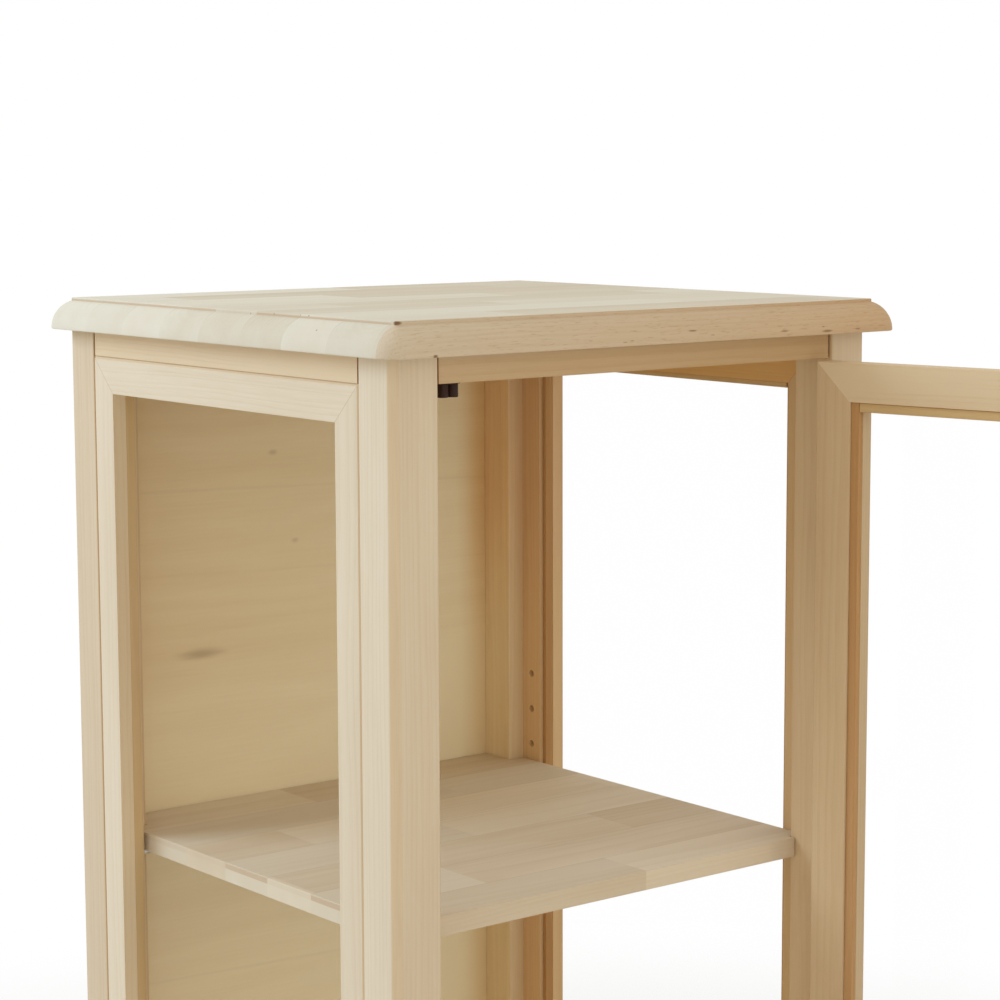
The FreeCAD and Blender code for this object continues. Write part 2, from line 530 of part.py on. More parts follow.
HINGE_X, HINGE_Y = "hinge_axis_right", "-hinge_axis_forward"
for name, hinge_base in HINGE_BASES.items():
    base = (HINGE_X, HINGE_Y, hinge_base)
    hinge_leaf(f"hinge_{name}_post_leaf", base, 1, (0, 2), "hinge_pin_grip", False)
    hinge_leaf(f"hinge_{name}_door_leaf", base, -1, (1,), "hinge_pin_play", True)
    pin = body(f"hinge_{name}_pin")
    turn(pin, box("0", "hinge_pin_radius", "0", "hinge_height"))
    place(pin, base)

for name, sign, swings in (("post", 1, False), ("door", -1, True)):
    group(f"hinge_{name}_screws", wood_screw("screw"),
          [(point(f"{HINGE_X} + {sign} * leaf_gap / 2", f"{HINGE_Y} + (leaf_start + leaf_reach) / 2",
                  f"{hinge_base} + {part} * hinge_height"), X * sign, Z)
           for hinge_base in HINGE_BASES.values() for part in (0.2, 0.8)], swings)

# Catch under the front top rail: a screw plate with two upright round pods, a magnet in each from below
catch = body("catch_housing")
CATCH_HALF = "((pod_spacing + pod_width) / 2)"
drawn = sketch(catch, "XY_Plane", "-catch_plate")
outline(drawn, box(f"-{CATCH_HALF}", CATCH_HALF, "0", "catch_depth"))
pad(catch, drawn, "catch_plate")
drawn = sketch(catch, "XY_Plane", "-catch_drop")
for sign in (-1, 1):
    ring(drawn, f"{sign} * pod_spacing / 2", "pod_width / 2", "pod_width / 2")
pad(catch, drawn, "catch_drop")
drawn = sketch(catch, "XY_Plane", "-catch_drop")
for sign in (-1, 1):
    middle = f"{sign} * pod_spacing / 2"
    outline(drawn, box(f"{middle} - magnet_size / 2", f"{middle} + magnet_size / 2",
                       "(pod_width - magnet_size) / 2", "(pod_width + magnet_size) / 2"))
pocket(catch, drawn, "magnet_length", backwards=True)
drawn = sketch(catch, "XY_Plane")
SCREW_BACK = "(pod_width + catch_depth) / 2"
for sign in (-1, 1):
    ring(drawn, f"{sign} * pod_spacing / 2", SCREW_BACK, "screw_head + screw_play")
pocket(catch, drawn)
CATCH_BASE = ("-catch_centre", "-catch_front", FRAME_TOP)
place(catch, CATCH_BASE)
magnet = Part.makeBox(*[value("magnet_size - 2 * magnet_play")] * 2, value("magnet_length"))
group("catch_magnets", magnet,
      [(point(f"-catch_centre + {i} * pod_spacing / 2 - magnet_size / 2 + magnet_play",
              "(pod_width - magnet_size) / 2 + magnet_play - catch_front", f"{FRAME_TOP} - catch_drop"), Z, X)
       for i in (-1, 1)])
group("catch_screws", wood_screw("screw"),
      [(point(f"-catch_centre + {i} * pod_spacing / 2", f"-catch_front + {SCREW_BACK}",
              f"{FRAME_TOP} - catch_plate"), Z, X) for i in (-1, 1)])

# Strike plate for the catch on the door's top rail, with a screw at each end
strike = slab("strike_plate", "XZ_Plane",
              box("-catch_centre - strike_width / 2", "-catch_centre + strike_width / 2",
                  f"{DOOR_TOP} - strike_top_margin - strike_height", f"{DOOR_TOP} - strike_top_margin"),
              "strike_thickness", ("0", f"-{DOOR_INSIDE}", "0"), swings=True)
STRIKE_LEVEL = f"{DOOR_TOP} - strike_top_margin - strike_height / 2"
STRIKE_SCREWS = [f"-catch_centre + {i} * (strike_width / 2 - 4)" for i in (-1, 1)]
drawn = sketch(strike, "XZ_Plane")
for x in STRIKE_SCREWS:
    ring(drawn, x, STRIKE_LEVEL, "screw_head + screw_play")
pocket(strike, drawn)
group("strike_screws", wood_screw("screw"),
      [(point(x, f"-{DOOR_INSIDE} + strike_thickness", STRIKE_LEVEL), -Y, X) for x in STRIKE_SCREWS], True)

# Turned knob on the closing stile, held by a screw from the inside
KNOB = (f"-{DOOR_LEFT} + (door_member - door_rebate) / 2", f"-{DOOR_FACE}", "knob_height")
knob = faceted(24, ("knob_foot", "0"), ("knob_neck", "knob_length * 0.3"),
               ("knob_radius", "knob_length * 0.62"), ("knob_radius - 2", "knob_length * 0.86"),
               ("knob_neck + 1", "knob_length"))
group("door_knob", knob, [(point(*KNOB), -Y, X)], swings=True)
pan_head = faceted(8, ("1.4 * knob_screw_radius", "0"), ("2 * knob_screw_radius", "1"),
                   ("2 * knob_screw_radius", "2"), ("knob_screw_radius", "2"),
                   ("knob_screw_radius", "14 + door_thickness"))
group("knob_screw", pan_head, [(point(KNOB[0], f"-{DOOR_INSIDE} + 2", KNOB[2]), -Y, X)], swings=True)

doc.recompute()
for item in doc.Objects:
    if "Invalid" in item.State or "Error" in item.State:
        raise RuntimeError("%s is %s" % (item.Name, item.State))
os.makedirs("parts", exist_ok=True)
for piece in pieces:
    if piece.Shape.isNull() or not piece.Shape.isValid() or not piece.Shape.Solids:
        raise RuntimeError(piece.Label + " has no valid solid")
    piece.Shape.exportStep("parts/%s.step" % piece.Label)
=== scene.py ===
import json
import math
import random

import bmesh
import bpy
from mathutils import Euler, Matrix, Vector

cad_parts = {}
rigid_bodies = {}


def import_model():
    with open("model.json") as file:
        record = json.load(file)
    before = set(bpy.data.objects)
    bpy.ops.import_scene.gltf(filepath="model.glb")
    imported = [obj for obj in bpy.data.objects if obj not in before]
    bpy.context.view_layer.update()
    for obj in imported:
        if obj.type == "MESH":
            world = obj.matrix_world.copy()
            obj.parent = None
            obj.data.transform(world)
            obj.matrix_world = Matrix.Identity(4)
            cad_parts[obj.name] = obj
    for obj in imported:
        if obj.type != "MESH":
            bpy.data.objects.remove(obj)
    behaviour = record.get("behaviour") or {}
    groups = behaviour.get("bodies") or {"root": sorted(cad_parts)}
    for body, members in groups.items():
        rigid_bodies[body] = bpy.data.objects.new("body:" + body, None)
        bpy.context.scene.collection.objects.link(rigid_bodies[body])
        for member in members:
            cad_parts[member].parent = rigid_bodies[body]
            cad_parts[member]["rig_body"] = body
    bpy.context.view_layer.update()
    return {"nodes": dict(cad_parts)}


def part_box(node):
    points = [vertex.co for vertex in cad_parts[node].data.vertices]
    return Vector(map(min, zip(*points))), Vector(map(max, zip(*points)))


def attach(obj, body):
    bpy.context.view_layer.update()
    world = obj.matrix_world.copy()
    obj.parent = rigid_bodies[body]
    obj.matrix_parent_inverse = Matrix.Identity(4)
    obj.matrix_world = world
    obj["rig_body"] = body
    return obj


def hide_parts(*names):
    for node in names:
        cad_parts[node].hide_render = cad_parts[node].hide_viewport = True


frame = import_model()


# Posts: four square legs of pale close-grained hardwood, sawn and planed with the grain upright.
# The outer corner of each is chamfered and every edge is sanded by hand; nothing is painted on the wood.
class Value:
    """One socket of a node tree; sums on values add Math nodes to that tree."""

    def __init__(self, tree, socket=None):
        self.tree, self.socket = tree, socket

    def node(self, kind, settings=None, sockets=None, out=0):
        """Any other node: its type, its settings, which are set first, and its sockets' values or links."""
        made = self.tree.nodes.new(kind)
        for key, setting in (settings or {}).items():
            setattr(made, key, setting)
        for key, given in (sockets or {}).items():
            if isinstance(given, Value):
                self.tree.links.new(given.socket, made.inputs[key])
            else:
                made.inputs[key].default_value = given
        return Value(self.tree, made.outputs[out] if len(made.outputs) else None)

    def math(self, operation, *terms):
        return self.node("ShaderNodeMath", {"operation": operation}, dict(enumerate(terms)))

    def vector(self, operation, *terms, out="Vector"):
        return self.node("ShaderNodeVectorMath", {"operation": operation}, dict(enumerate(terms)), out)

    def __add__(self, other):
        return self.math("ADD", self, other)

    def __sub__(self, other):
        return self.math("SUBTRACT", self, other)

    def __rsub__(self, other):
        return self.math("SUBTRACT", other, self)

    def __mul__(self, other):
        return self.math("MULTIPLY", self, other)

    def __truediv__(self, other):
        return self.math("DIVIDE", self, other)

    def __rtruediv__(self, other):
        return self.math("DIVIDE", other, self)

    def __pow__(self, other):
        return self.math("POWER", self, other)

    def __abs__(self):
        return self.math("ABSOLUTE", self)

    __radd__, __rmul__ = __add__, __mul__

    def part(self, name):
        """One coordinate of a vector."""
        return self.node("ShaderNodeSeparateXYZ", sockets={0: self}, out="XYZ".index(name))

    def stretched(self, along, across):
        """Coordinates for a pattern that runs with the grain, in repeats to the metre."""
        return self.vector("MULTIPLY", self, (along, across, across))

    def noise(self, detail=2.0, roughness=0.5):
        return self.node("ShaderNodeTexNoise", {}, {"Vector": self, "Scale": 1.0, "Detail": detail,
                                                    "Roughness": roughness, "Distortion": 0.0})

    def band(self, low, high):
        """Smooth step from 0 at low to 1 at high."""
        return self.node("ShaderNodeMapRange", {"interpolation_type": "SMOOTHSTEP"},
                         {"Value": self, "From Min": low, "From Max": high})

    def mix(self, share, first, last, blend="MIX"):
        """Colour that lies this share of the way from one colour to another."""
        return self.node("ShaderNodeMix", {"data_type": "RGBA", "blend_type": blend},
                         {0: share, 6: first, 7: last}, out=2)

    def tint(self, share, colour):
        """This colour mixed towards another."""
        return self.mix(share, self, colour)

    def times(self, share, colour):
        """This colour multiplied by another."""
        return self.mix(share, self, colour, "MULTIPLY")


def finish(name, **constants):
    """New material whose Principled shader has these constants; gives it, its shader and a first value."""
    material = bpy.data.materials.new(name)
    material.use_nodes = True
    shader = material.node_tree.nodes["Principled BSDF"]
    for key, constant in constants.items():
        shader.inputs[key.replace("_", " ")].default_value = constant
    return material, shader, Value(material.node_tree)


def join(value, shader, socket):
    value.tree.links.new(value.socket, shader.inputs[socket])


def relief(height, shader, strength, depth):
    """Fine relief of a surface, which only shading shows."""
    join(height.node("ShaderNodeBump", {}, {"Strength": strength, "Distance": depth, "Height": height}),
         shader, "Normal")


DOOR_TURN = math.radians(101.36)
GRAIN_TURNS = {"x": (0, 0, 0), "y": (0, 0, -math.pi / 2), "z": (0, math.pi / 2, 0),
               "door": (0, 0, -DOOR_TURN), "knob": (0, 0, math.pi / 2 - DOOR_TURN)}
RING_WIDTH = 0.0042


def cut_from_log(node, grain, seed, here):
    """Coordinates with X along the grain and zero on a heart line beside the piece, and the grain's way."""
    draw = random.Random(seed)
    turn = Euler(GRAIN_TURNS[grain]).to_matrix()
    low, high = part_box(node)
    heart = Vector((draw.uniform(-0.3, 0.3), draw.choice((-1, 1)) * draw.uniform(0.02, 0.06),
                    draw.choice((-1, 1)) * draw.uniform(0.03, 0.08)))
    run = here.node("ShaderNodeMapping", {}, {"Vector": here, "Rotation": GRAIN_TURNS[grain],
                                              "Location": heart - turn @ ((low + high) / 2)})
    return run, turn.transposed() @ Vector((1, 0, 0))


def late_wood(run):
    """Darker late part of each year's ring round the heart line."""
    drift = (run.stretched(2.2, 9).noise(2.0) - 0.5) * 0.016
    wander = (run.stretched(5, 45).noise(3.0) - 0.5) * 0.004
    radius = run.part("Y") * run.part("Y") + run.part("Z") * run.part("Z")
    year = (radius.math("SQRT", radius) + drift + wander) / RING_WIDTH
    pace = year.node("ShaderNodeTexNoise", {"noise_dimensions": "1D"},
                     {"W": year * 0.45, "Scale": 1.0, "Detail": 1.0})
    year = year + pace * 1.6
    late = year.math("FRACT", year)
    return late.band(0.35, 0.93) * (1.0 - late.band(0.93, 1.0))


BLOCK_LENGTH = 0.31
BLOCK_STEP = 0.37
BOARD_STEP = 17.0
HEART_SPREAD, HEART_START = (2.0, 0.09, 0.10), (-1.0, -0.045, -0.02)


def glued_staves(run, stave, seed, whole):
    """Staves finger-jointed from blocks of different wood, each with its own heart line; not jointed where
    whole is 1. Gives coordinates in a block, three lots drawn for it, and the distance to the middle of the
    stave in staves."""
    across = run.part("Y") / stave
    number = across.math("FLOOR", across)
    along = (run.part("X") / BLOCK_LENGTH + number * BLOCK_STEP) * (1.0 - whole)
    block = number.node("ShaderNodeCombineXYZ", {}, {0: number + seed * BOARD_STEP,
                                                     1: along.math("FLOOR", along)})
    lots = block.node("ShaderNodeTexWhiteNoise", {"noise_dimensions": "2D"}, {"Vector": block}, out="Color")
    aside = across - number - 0.5
    local = run.node("ShaderNodeCombineXYZ", {}, {0: run.part("X"), 1: aside * stave, 2: run.part("Z")})
    heart = lots.vector("MULTIPLY_ADD", lots, HEART_SPREAD, HEART_START)
    return local.vector("ADD", local, heart), lots, abs(aside)


def knotted(colour, here, knots, ragged, edge, dark):
    """Dark ragged knots, each with its spot, its size along the three axes and its strength."""
    for spot, size, strength in knots:
        away = here.vector("DIVIDE", here.vector("SUBTRACT", here, spot), size)
        reach = away.vector("LENGTH", away, out="Value") + ragged
        colour = colour.tint((1.0 - reach.band(*edge)) * strength, dark)
    return colour


MITRE_LINE = (0.47, 0.28, 0.14, 1)
MITRE_FADE, MITRE_CORE = 0.0008, 0.0002


def mitre_glue(colour, here, low, high, end):
    """Thin lines of glue from the outer corners of a frame, at its top or bottom, to the inner ones."""
    depth = high.z - here.part("Z") if end == "top" else here.part("Z") - low.z
    for reach in (here.part("Y") - low.y, high.y - here.part("Y")):
        colour = colour.tint(abs(reach - depth).band(MITRE_FADE, MITRE_CORE) * 0.65, MITRE_LINE)
    return colour


def slanting(outward):
    """1 on faces that lie at about 45 degrees, such as chamfers and arrises."""
    x, y, z = (abs(outward.part(axis)) for axis in "XYZ")
    return (x * y + y * z + z * x).band(0.25, 0.45)


def looking_in(here, outward):
    """1 on upright faces that look into the cabinet, and less on those of them that also face the front."""
    level = here.vector("MULTIPLY", here, (-1, -1, 0))
    inward = level.vector("DOT_PRODUCT", level, outward, out="Value")
    return inward.band(0.01, 0.05) * (1.0 - 0.3 * outward.part("Y").band(-0.5, -0.9))


PALE_WOOD = (0.775, 0.665, 0.505, 1)
DEEP_WOOD = (0.610, 0.465, 0.300, 1)
BLUSH = (0.70, 0.53, 0.40, 1)
KNOT_WOOD = (0.23, 0.125, 0.06, 1)
GREY_BLOCK = (0.66, 0.60, 0.48, 1)
BROWN_STEP = (0.56, 0.39, 0.24, 1)
GLUE_LINE = (0.36, 0.25, 0.15, 1)
END_GRAIN = (0.53, 0.40, 0.25, 1)
EDGE_SHADE = (0.995, 0.94, 0.85, 1)
# Painted shade for faces that look into the cabinet
INNER_SHADE = (0.99, 0.885, 0.725, 1)
STEP_FOOT, STEP_HEAD = 0.0050, 0.0045
GLUE_FADE, GLUE_CORE = 0.0005, 0.0001
STRIP_FADE = 0.001
PALER_BELOW, WARM_ABOVE = 0.86, 1.03


def timber(node, grain, seed, tone=0.0, pale=PALE_WOOD, deep=DEEP_WOOD, stave=None, knots=(), front=None,
           shade_to_right=None, mitre=None, ends=0.16, end_colour=END_GRAIN, inner=INNER_SHADE, low_inner=None):
    """Raw sanded wood: year rings, fibre and flecks along the grain, marks of saw, glue and use, and painted
    shade.
    """
    material, shader, start = finish(node + "_wood", Specular_IOR_Level=0.32)
    here = start.node("ShaderNodeTexCoord", out="Object")
    outward = start.node("ShaderNodeTexCoord", out="Normal")
    low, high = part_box(node)
    run, grain_way = cut_from_log(node, grain, seed, here)
    facing = abs(outward.vector("DOT_PRODUCT", outward, grain_way, out="Value"))
    cut_end = facing.band(0.45, 0.9)
    strip = here.part("Y").band(front, front - STRIP_FADE) if front else 0.0
    if stave:
        run, lots, aside = glued_staves(run, stave, seed, strip)
        tone = (lots.part("Z") - 0.5) * 0.85 + tone
    late = late_wood(run) * (1.0 - 0.85 * cut_end)
    broad = run.stretched(3.0, 26).noise(2.0)
    fibre = run.stretched(28, 1100).noise(3.0, 0.6)
    fleck = run.stretched(150, 2600).noise(1.0).band(0.66, 0.78)
    share = late * 0.13 + (broad - 0.5) * 0.75 + (fibre - 0.5) * 0.45 + fleck * 0.16 + 0.20 + tone
    if front:
        share = share + strip * run.stretched(120, 1150).noise(1.0).band(0.60, 0.72) * 0.55
    colour = start.mix(share.math("MAXIMUM", share, 0.0), pale, deep)
    colour = colour.tint(run.stretched(1.3, 11).noise(1.0).band(0.52, 0.80) * 0.20, BLUSH)
    if stave:
        colour = colour.tint(lots.part("X").band(0.55, 1.0) * 0.35, GREY_BLOCK)
        # The small step round the flat was cut across the fibres and is brown on some staves
        step = facing.band(0.97, 0.995) * here.part("Z").band(high.z - STEP_FOOT, high.z - STEP_HEAD)
        colour = colour.tint(step * (0.15 + 0.6 * lots.part("Y").band(0.35, 0.65)), BROWN_STEP)
    # Sawn ends soak up more dirt in patches and hide the rings
    patch = here.stretched(55, 55).noise(3.0, 0.6)
    colour = colour.tint(cut_end * (ends * (0.2 + 1.6 * patch)), end_colour)
    if knots:
        ragged = (fibre - 0.5) * 0.8 + (broad - 0.5) * 0.5
        colour = knotted(colour, here, knots, ragged, (0.35, 1.05), KNOT_WOOD)
    if mitre:
        colour = mitre_glue(colour, here, low, high, mitre)
    if stave:
        glue = aside.band(0.5 - GLUE_FADE / stave, 0.5 - GLUE_CORE / stave) * (1.0 - cut_end)
        colour = colour.tint(glue * 0.35, GLUE_LINE)
    else:
        # Chamfers and arrises are drawn warmer and darker: painted shade, for the warm shade in the grooves
        # they form
        colour = colour.times(slanting(outward), EDGE_SHADE)
    if shade_to_right:
        # Painted shade: the wood is drawn darker and redder to the right, where less light falls on it
        # On the top board this painted shade lies only on the strip glued along the front edge
        tint, middle, slope = shade_to_right
        colour = colour.times((middle + slope * here.part("X")) * (strip if front else 1.0), tint)
    # Painted shade: faces that look into the cabinet are drawn warmer and darker, as shade falls inside it
    # With low_inner given, this painted shade is paler low down and warmest near the top
    if low_inner:
        inner = start.mix(here.part("Z").band(PALER_BELOW, WARM_ABOVE), low_inner, inner)
    colour = colour.times(looking_in(here, outward), inner)
    join(colour, shader, "Base Color")
    join(0.60 + 0.10 * fibre + 0.08 * late, shader, "Roughness")
    relief(fibre * 0.7 - fleck * 0.5 - late * 0.25, shader, strength=0.35, depth=0.00022)
    return material


SAME_SPOT = 1e-6
FLAT_ANGLE, ARRIS_ANGLE, SHARP_ANGLE = math.radians(1), math.radians(30), math.radians(18)


def welded(node):
    """Copy of a CAD node's loose triangles with their corners merged."""
    shape = bmesh.new()
    shape.from_mesh(frame["nodes"][node].data)
    bmesh.ops.remove_doubles(shape, verts=shape.verts, dist=SAME_SPOT)
    return shape


def glued_mitre(edge, flat):
    """Whether an edge borders the cut of a mitre in a frame that lies square to flat."""
    return any(abs(face.normal.dot(flat)) < 0.01 and 0.6 < abs(face.normal.z) < 0.8
               for face in edge.link_faces)


def sanded(node, material, width=0.0005, slot="solid_wood", flat=None, room=0.0):
    """Copy of a CAD piece with its sharp edges eased by sanding, shown in its place. The mitres of a frame
    that lies square to flat stay sharp, because they are glued before it is sanded. A piece that is seen
    through, such as a pane, leaves a little room to what it touches."""
    shape = welded(node)
    bmesh.ops.dissolve_limit(shape, angle_limit=FLAT_ANGLE, verts=shape.verts, edges=shape.edges)
    arrises = [edge for edge in shape.edges if edge.is_convex and edge.calc_face_angle(0) > ARRIS_ANGLE
               and not (flat and glued_mitre(edge, flat))]
    for vert in shape.verts:
        vert.co -= vert.normal * vert.calc_shell_factor() * room
    bmesh.ops.bevel(shape, geom=arrises, offset=width, segments=2, profile=0.5, affect="EDGES")
    mesh = bpy.data.meshes.new(node + "_sanded")
    shape.to_mesh(mesh)
    shape.free()
    mesh.polygons.foreach_set("use_smooth", [True] * len(mesh.polygons))
    mesh.set_sharp_from_angle(angle=SHARP_ANGLE)
    mesh.materials.append(material)
    piece = bpy.data.objects.new(node + "_sanded", mesh)
    bpy.context.scene.collection.objects.link(piece)
    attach(piece, frame["nodes"][node]["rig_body"])
    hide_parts(node)


POST_ARRIS = 0.0008
# The right rear post gets painted shade on its inner faces, paler low down
POST_INNER_SHADE = {"inner": (1.04, 0.80, 0.53, 1), "low_inner": (1.12, 1.02, 0.80, 1)}
POST_TONES = {"front_left": 0.0, "front_right": 0.10, "rear_left": 0.45, "rear_right": 0.0}
for seed, (corner, tone) in enumerate(POST_TONES.items(), start=11):
    tints = POST_INNER_SHADE if corner == "rear_right" else {}
    sanded("post_" + corner, timber("post_" + corner, "z", seed, tone, **tints), POST_ARRIS)


# Floor glides: a moulded plastic button under each post with a steel nail in it, hammered into the end grain.
# Only the rim of the button shows, because the post stands right on top of it.
def moulded(name, colour, roughness=0.45, speckle=0.25):
    """Moulded plastic with a fine spark-eroded skin and slight rubbing."""
    material, shader, start = finish(name, Specular_IOR_Level=0.2)
    here = start.node("ShaderNodeTexCoord", out="Object")
    skin = here.stretched(2600, 2600).noise(2.0)
    rubbed = here.stretched(160, 160).noise(3.0).band(0.5, 0.8)
    worn = [1.5 * c + 0.008 for c in colour]
    join(start.mix(rubbed * speckle + (skin - 0.5) * 0.2, (*colour, 1), (*worn, 1)), shader, "Base Color")
    join(roughness + 0.2 * rubbed + 0.1 * skin, shader, "Roughness")
    relief(skin, shader, strength=0.25, depth=0.0001)
    return material


def islands(node):
    """Corner points of each separate solid in a CAD group."""
    shape = welded(node)
    left, found = set(shape.verts), []
    while left:
        grown, edge = set(), [left.pop()]
        while edge:
            vert = edge.pop()
            grown.add(vert)
            fresh = {e.other_vert(vert) for e in vert.link_edges} & left
            left -= fresh
            edge += fresh
        found.append([v.co.copy() for v in grown])
    shape.free()
    return found


def seats(node, way, lie):
    """Where each solid of a CAD group starts, its way in, which its middle may decide, and its lie."""
    found = []
    for points in islands(node):
        middle = sum(points, Vector()) / len(points)
        into = way(middle) if callable(way) else way
        reach = [p.dot(into) for p in points]
        first = [p for p, r in zip(points, reach) if r < min(reach) + 1e-5]
        found.append((sum(first, Vector()) / len(first), into, first))
    found.sort(key=lambda seat: tuple(round(c, 4) for c in seat[0]))
    draw = random.Random(node)
    return [(spot, into, lie(first) if lie else Vector(draw.uniform(-1, 1) for axis in "xyz"))
            for spot, into, first in found]


class Pattern:
    """Geometry Nodes tree for one small solid along +Z, set on every seat, with named sizes."""

    def __init__(self, name, **sizes):
        self.tree = bpy.data.node_groups.new(name, "GeometryNodeTree")
        face = self.tree.interface
        face.new_socket("Geometry", in_out="INPUT", socket_type="NodeSocketGeometry")
        face.new_socket("Geometry", in_out="OUTPUT", socket_type="NodeSocketGeometry")
        self.sizes = {}
        for size, value in sizes.items():
            socket = face.new_socket(size, in_out="INPUT", socket_type="NodeSocketFloat")
            self.sizes[size] = (socket.identifier, value)
        face.new_socket("Finish", in_out="INPUT", socket_type="NodeSocketMaterial")
        self.given = self.tree.nodes.new("NodeGroupInput")
        self.value = Value(self.tree)
        self.solids = []

    def __getitem__(self, name):
        return Value(self.tree, self.given.outputs[name])

    def cone(self, low, high, start, length, sides=24):
        """Turned length of the solid, from one radius to another."""
        cone = self.value.node("GeometryNodeMeshCone", {}, {"Vertices": sides, "Radius Bottom": low,
                                                           "Radius Top": high, "Depth": length})
        lift = cone.node("ShaderNodeCombineXYZ", {}, {"Z": start})
        self.solids.append(cone.node("GeometryNodeTransform", {}, {"Geometry": cone, "Translation": lift}))

    def arrow(self, name):
        """Vector that each seat keeps under this name."""
        return self.value.node("GeometryNodeInputNamedAttribute", {"data_type": "FLOAT_VECTOR"},
                               {"Name": name})

    def close(self):
        """Set the solid on the seats, make it real and give it its finish."""
        joined = self.tree.nodes.new("GeometryNodeJoinGeometry")
        for solid in self.solids[::-1]:
            self.tree.links.new(solid.socket, joined.inputs[0])
        whole = Value(self.tree, joined.outputs[0])
        turned = whole.node("FunctionNodeAlignRotationToVector", {"axis": "Z"}, {"Vector": self.arrow("way")})
        turned = whole.node("FunctionNodeAlignRotationToVector", {"axis": "X", "pivot_axis": "Z"},
                            {"Rotation": turned, "Vector": self.arrow("lie")})
        placed = whole.node("GeometryNodeInstanceOnPoints", {},
                            {"Points": self["Geometry"], "Rotation": turned, "Instance": whole})
        real = whole.node("GeometryNodeRealizeInstances", {}, {"Geometry": placed})
        done = whole.node("GeometryNodeSetMaterial", {}, {"Geometry": real, "Material": self["Finish"]})
        whole.node("NodeGroupOutput", {}, {"Geometry": done})
        return self

    def set_on(self, node, way, material, slot, smooth=40, lie=None, **sizes):
        """One mesh of these solids in place of a CAD group."""
        places = seats(node, way, lie)
        mesh = bpy.data.meshes.new(node + "_real")
        mesh.from_pydata([place[0] for place in places], [], [])
        for number, name in ((1, "way"), (2, "lie")):
            arrows = mesh.attributes.new(name, "FLOAT_VECTOR", "POINT")
            arrows.data.foreach_set("vector", [c for place in places for c in place[number]])
        piece = bpy.data.objects.new(node + "_real", mesh)
        bpy.context.scene.collection.objects.link(piece)
        made = piece.modifiers.new("Set on seats", "NODES")
        made.node_group = self.tree
        for size, (identifier, value) in self.sizes.items():
            made[identifier] = sizes.get(size, value)
        made[self.tree.interface.items_tree["Finish"].identifier] = material
        bpy.context.view_layer.update()
        real = bpy.data.meshes.new_from_object(piece.evaluated_get(bpy.context.evaluated_depsgraph_get()))
        piece.modifiers.clear()
        piece.data = real
        real.polygons.foreach_set("use_smooth", [True] * len(real.polygons))
        real.set_sharp_from_angle(angle=math.radians(smooth))
        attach(piece, frame["nodes"][node]["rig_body"])
        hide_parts(node)


UP = Vector((0, 0, 1))
GLIDE_SIDES, NAIL_SIDES = 40, 12
glide = Pattern("glide", radius=0.011, height=0.003, rim=0.001, nail=0.0015, nail_length=0.0135)
glide_foot = glide["radius"] - glide["rim"] * 1.6
glide_bevel = glide["radius"] - glide["rim"] * 0.5
glide.cone(glide_foot, glide_bevel, 0.0, glide["rim"] * 0.4, GLIDE_SIDES)
glide.cone(glide_bevel, glide["radius"], glide["rim"] * 0.4, glide["rim"], GLIDE_SIDES)
glide.cone(glide["radius"], glide["radius"], glide["rim"] * 1.4, glide["height"] - glide["rim"] * 1.4,
           GLIDE_SIDES)
glide.cone(glide["nail"], glide["nail"] * 0.3, glide["height"], glide["nail_length"] - glide["height"],
           NAIL_SIDES)
glide.close()
glide.set_on("floor_glides", UP, moulded("glide_plastic", (0.115, 0.10, 0.085)), "glide_plastic")


# Rails: eight short lengths of the same wood with a stub tenon at each end, glued into the posts' mortises.
# Their shoulders stop a hair short of the posts, so a thin dark joint shows at both ends.
WARM_PALE = (0.730, 0.575, 0.375, 1)
WARM_DEEP = (0.560, 0.385, 0.208, 1)
# Painted shade: the rails' end faces, seen only down the joints, are dark red-brown for the warm shade there
JOINT_SHADE_END = (0.33, 0.135, 0.045, 1)
# Painted shade on the front rail: darker and redder to the right
RAIL_RIGHT_SHADE = ((0.84, 0.74, 0.60, 1), 0.5, 1.95)
RAIL_TONES = {"front": 0.25, "left": -0.25, "right": 0.0, "rear": 0.0}
RAILS = [(level, side) for level in ("top", "bottom") for side in RAIL_TONES]
for seed, (level, side) in enumerate(RAILS, start=31):
    node = f"{level}_rail_{side}"
    grain = "x" if side in ("front", "rear") else "y"
    sanded(node, timber(node, grain, seed, RAIL_TONES[side], WARM_PALE, WARM_DEEP, ends=0.9,
                        end_colour=JOINT_SHADE_END, shade_to_right=RAIL_RIGHT_SHADE if side == "front" else None))


# Side frames: four mitred lengths of rebated moulding on each side, glued at the corners.
# They lie flush with the posts, and the two stiles of each are drilled for shelf pins on the inner face.
FRAME_ARRIS = 0.0003
# Painted shade on the inner faces of the right frame's top and rear stile
RED_INNER_SHADE = (1.02, 0.77, 0.45, 1)
STILE_INNER_SHADE = {"inner": (1.03, 0.83, 0.66, 1), "low_inner": (1.13, 0.98, 0.79, 1)}
FRAME_MEMBERS = [(side, member) for side in ("left", "right")
                 for member in ("top", "bottom", "front_stile", "rear_stile")]
for seed, (side, member) in enumerate(FRAME_MEMBERS, start=51):
    node = f"{side}_frame_{member}"
    # The right frame takes the warmer, darker colours as painted shade, for the shade on that side
    looks = {"pale": WARM_PALE, "deep": WARM_DEEP} if side == "right" else {}
    if node == "right_frame_top":
        looks["inner"] = RED_INNER_SHADE
    if node == "right_frame_rear_stile":
        looks |= STILE_INNER_SHADE | {"tone": 0.25}
    if "stile" not in member:
        looks["mitre"] = member
    grain = "z" if "stile" in member else "y"
    sanded(node, timber(node, grain, seed, **looks), FRAME_ARRIS, flat=Vector((1, 0, 0)))


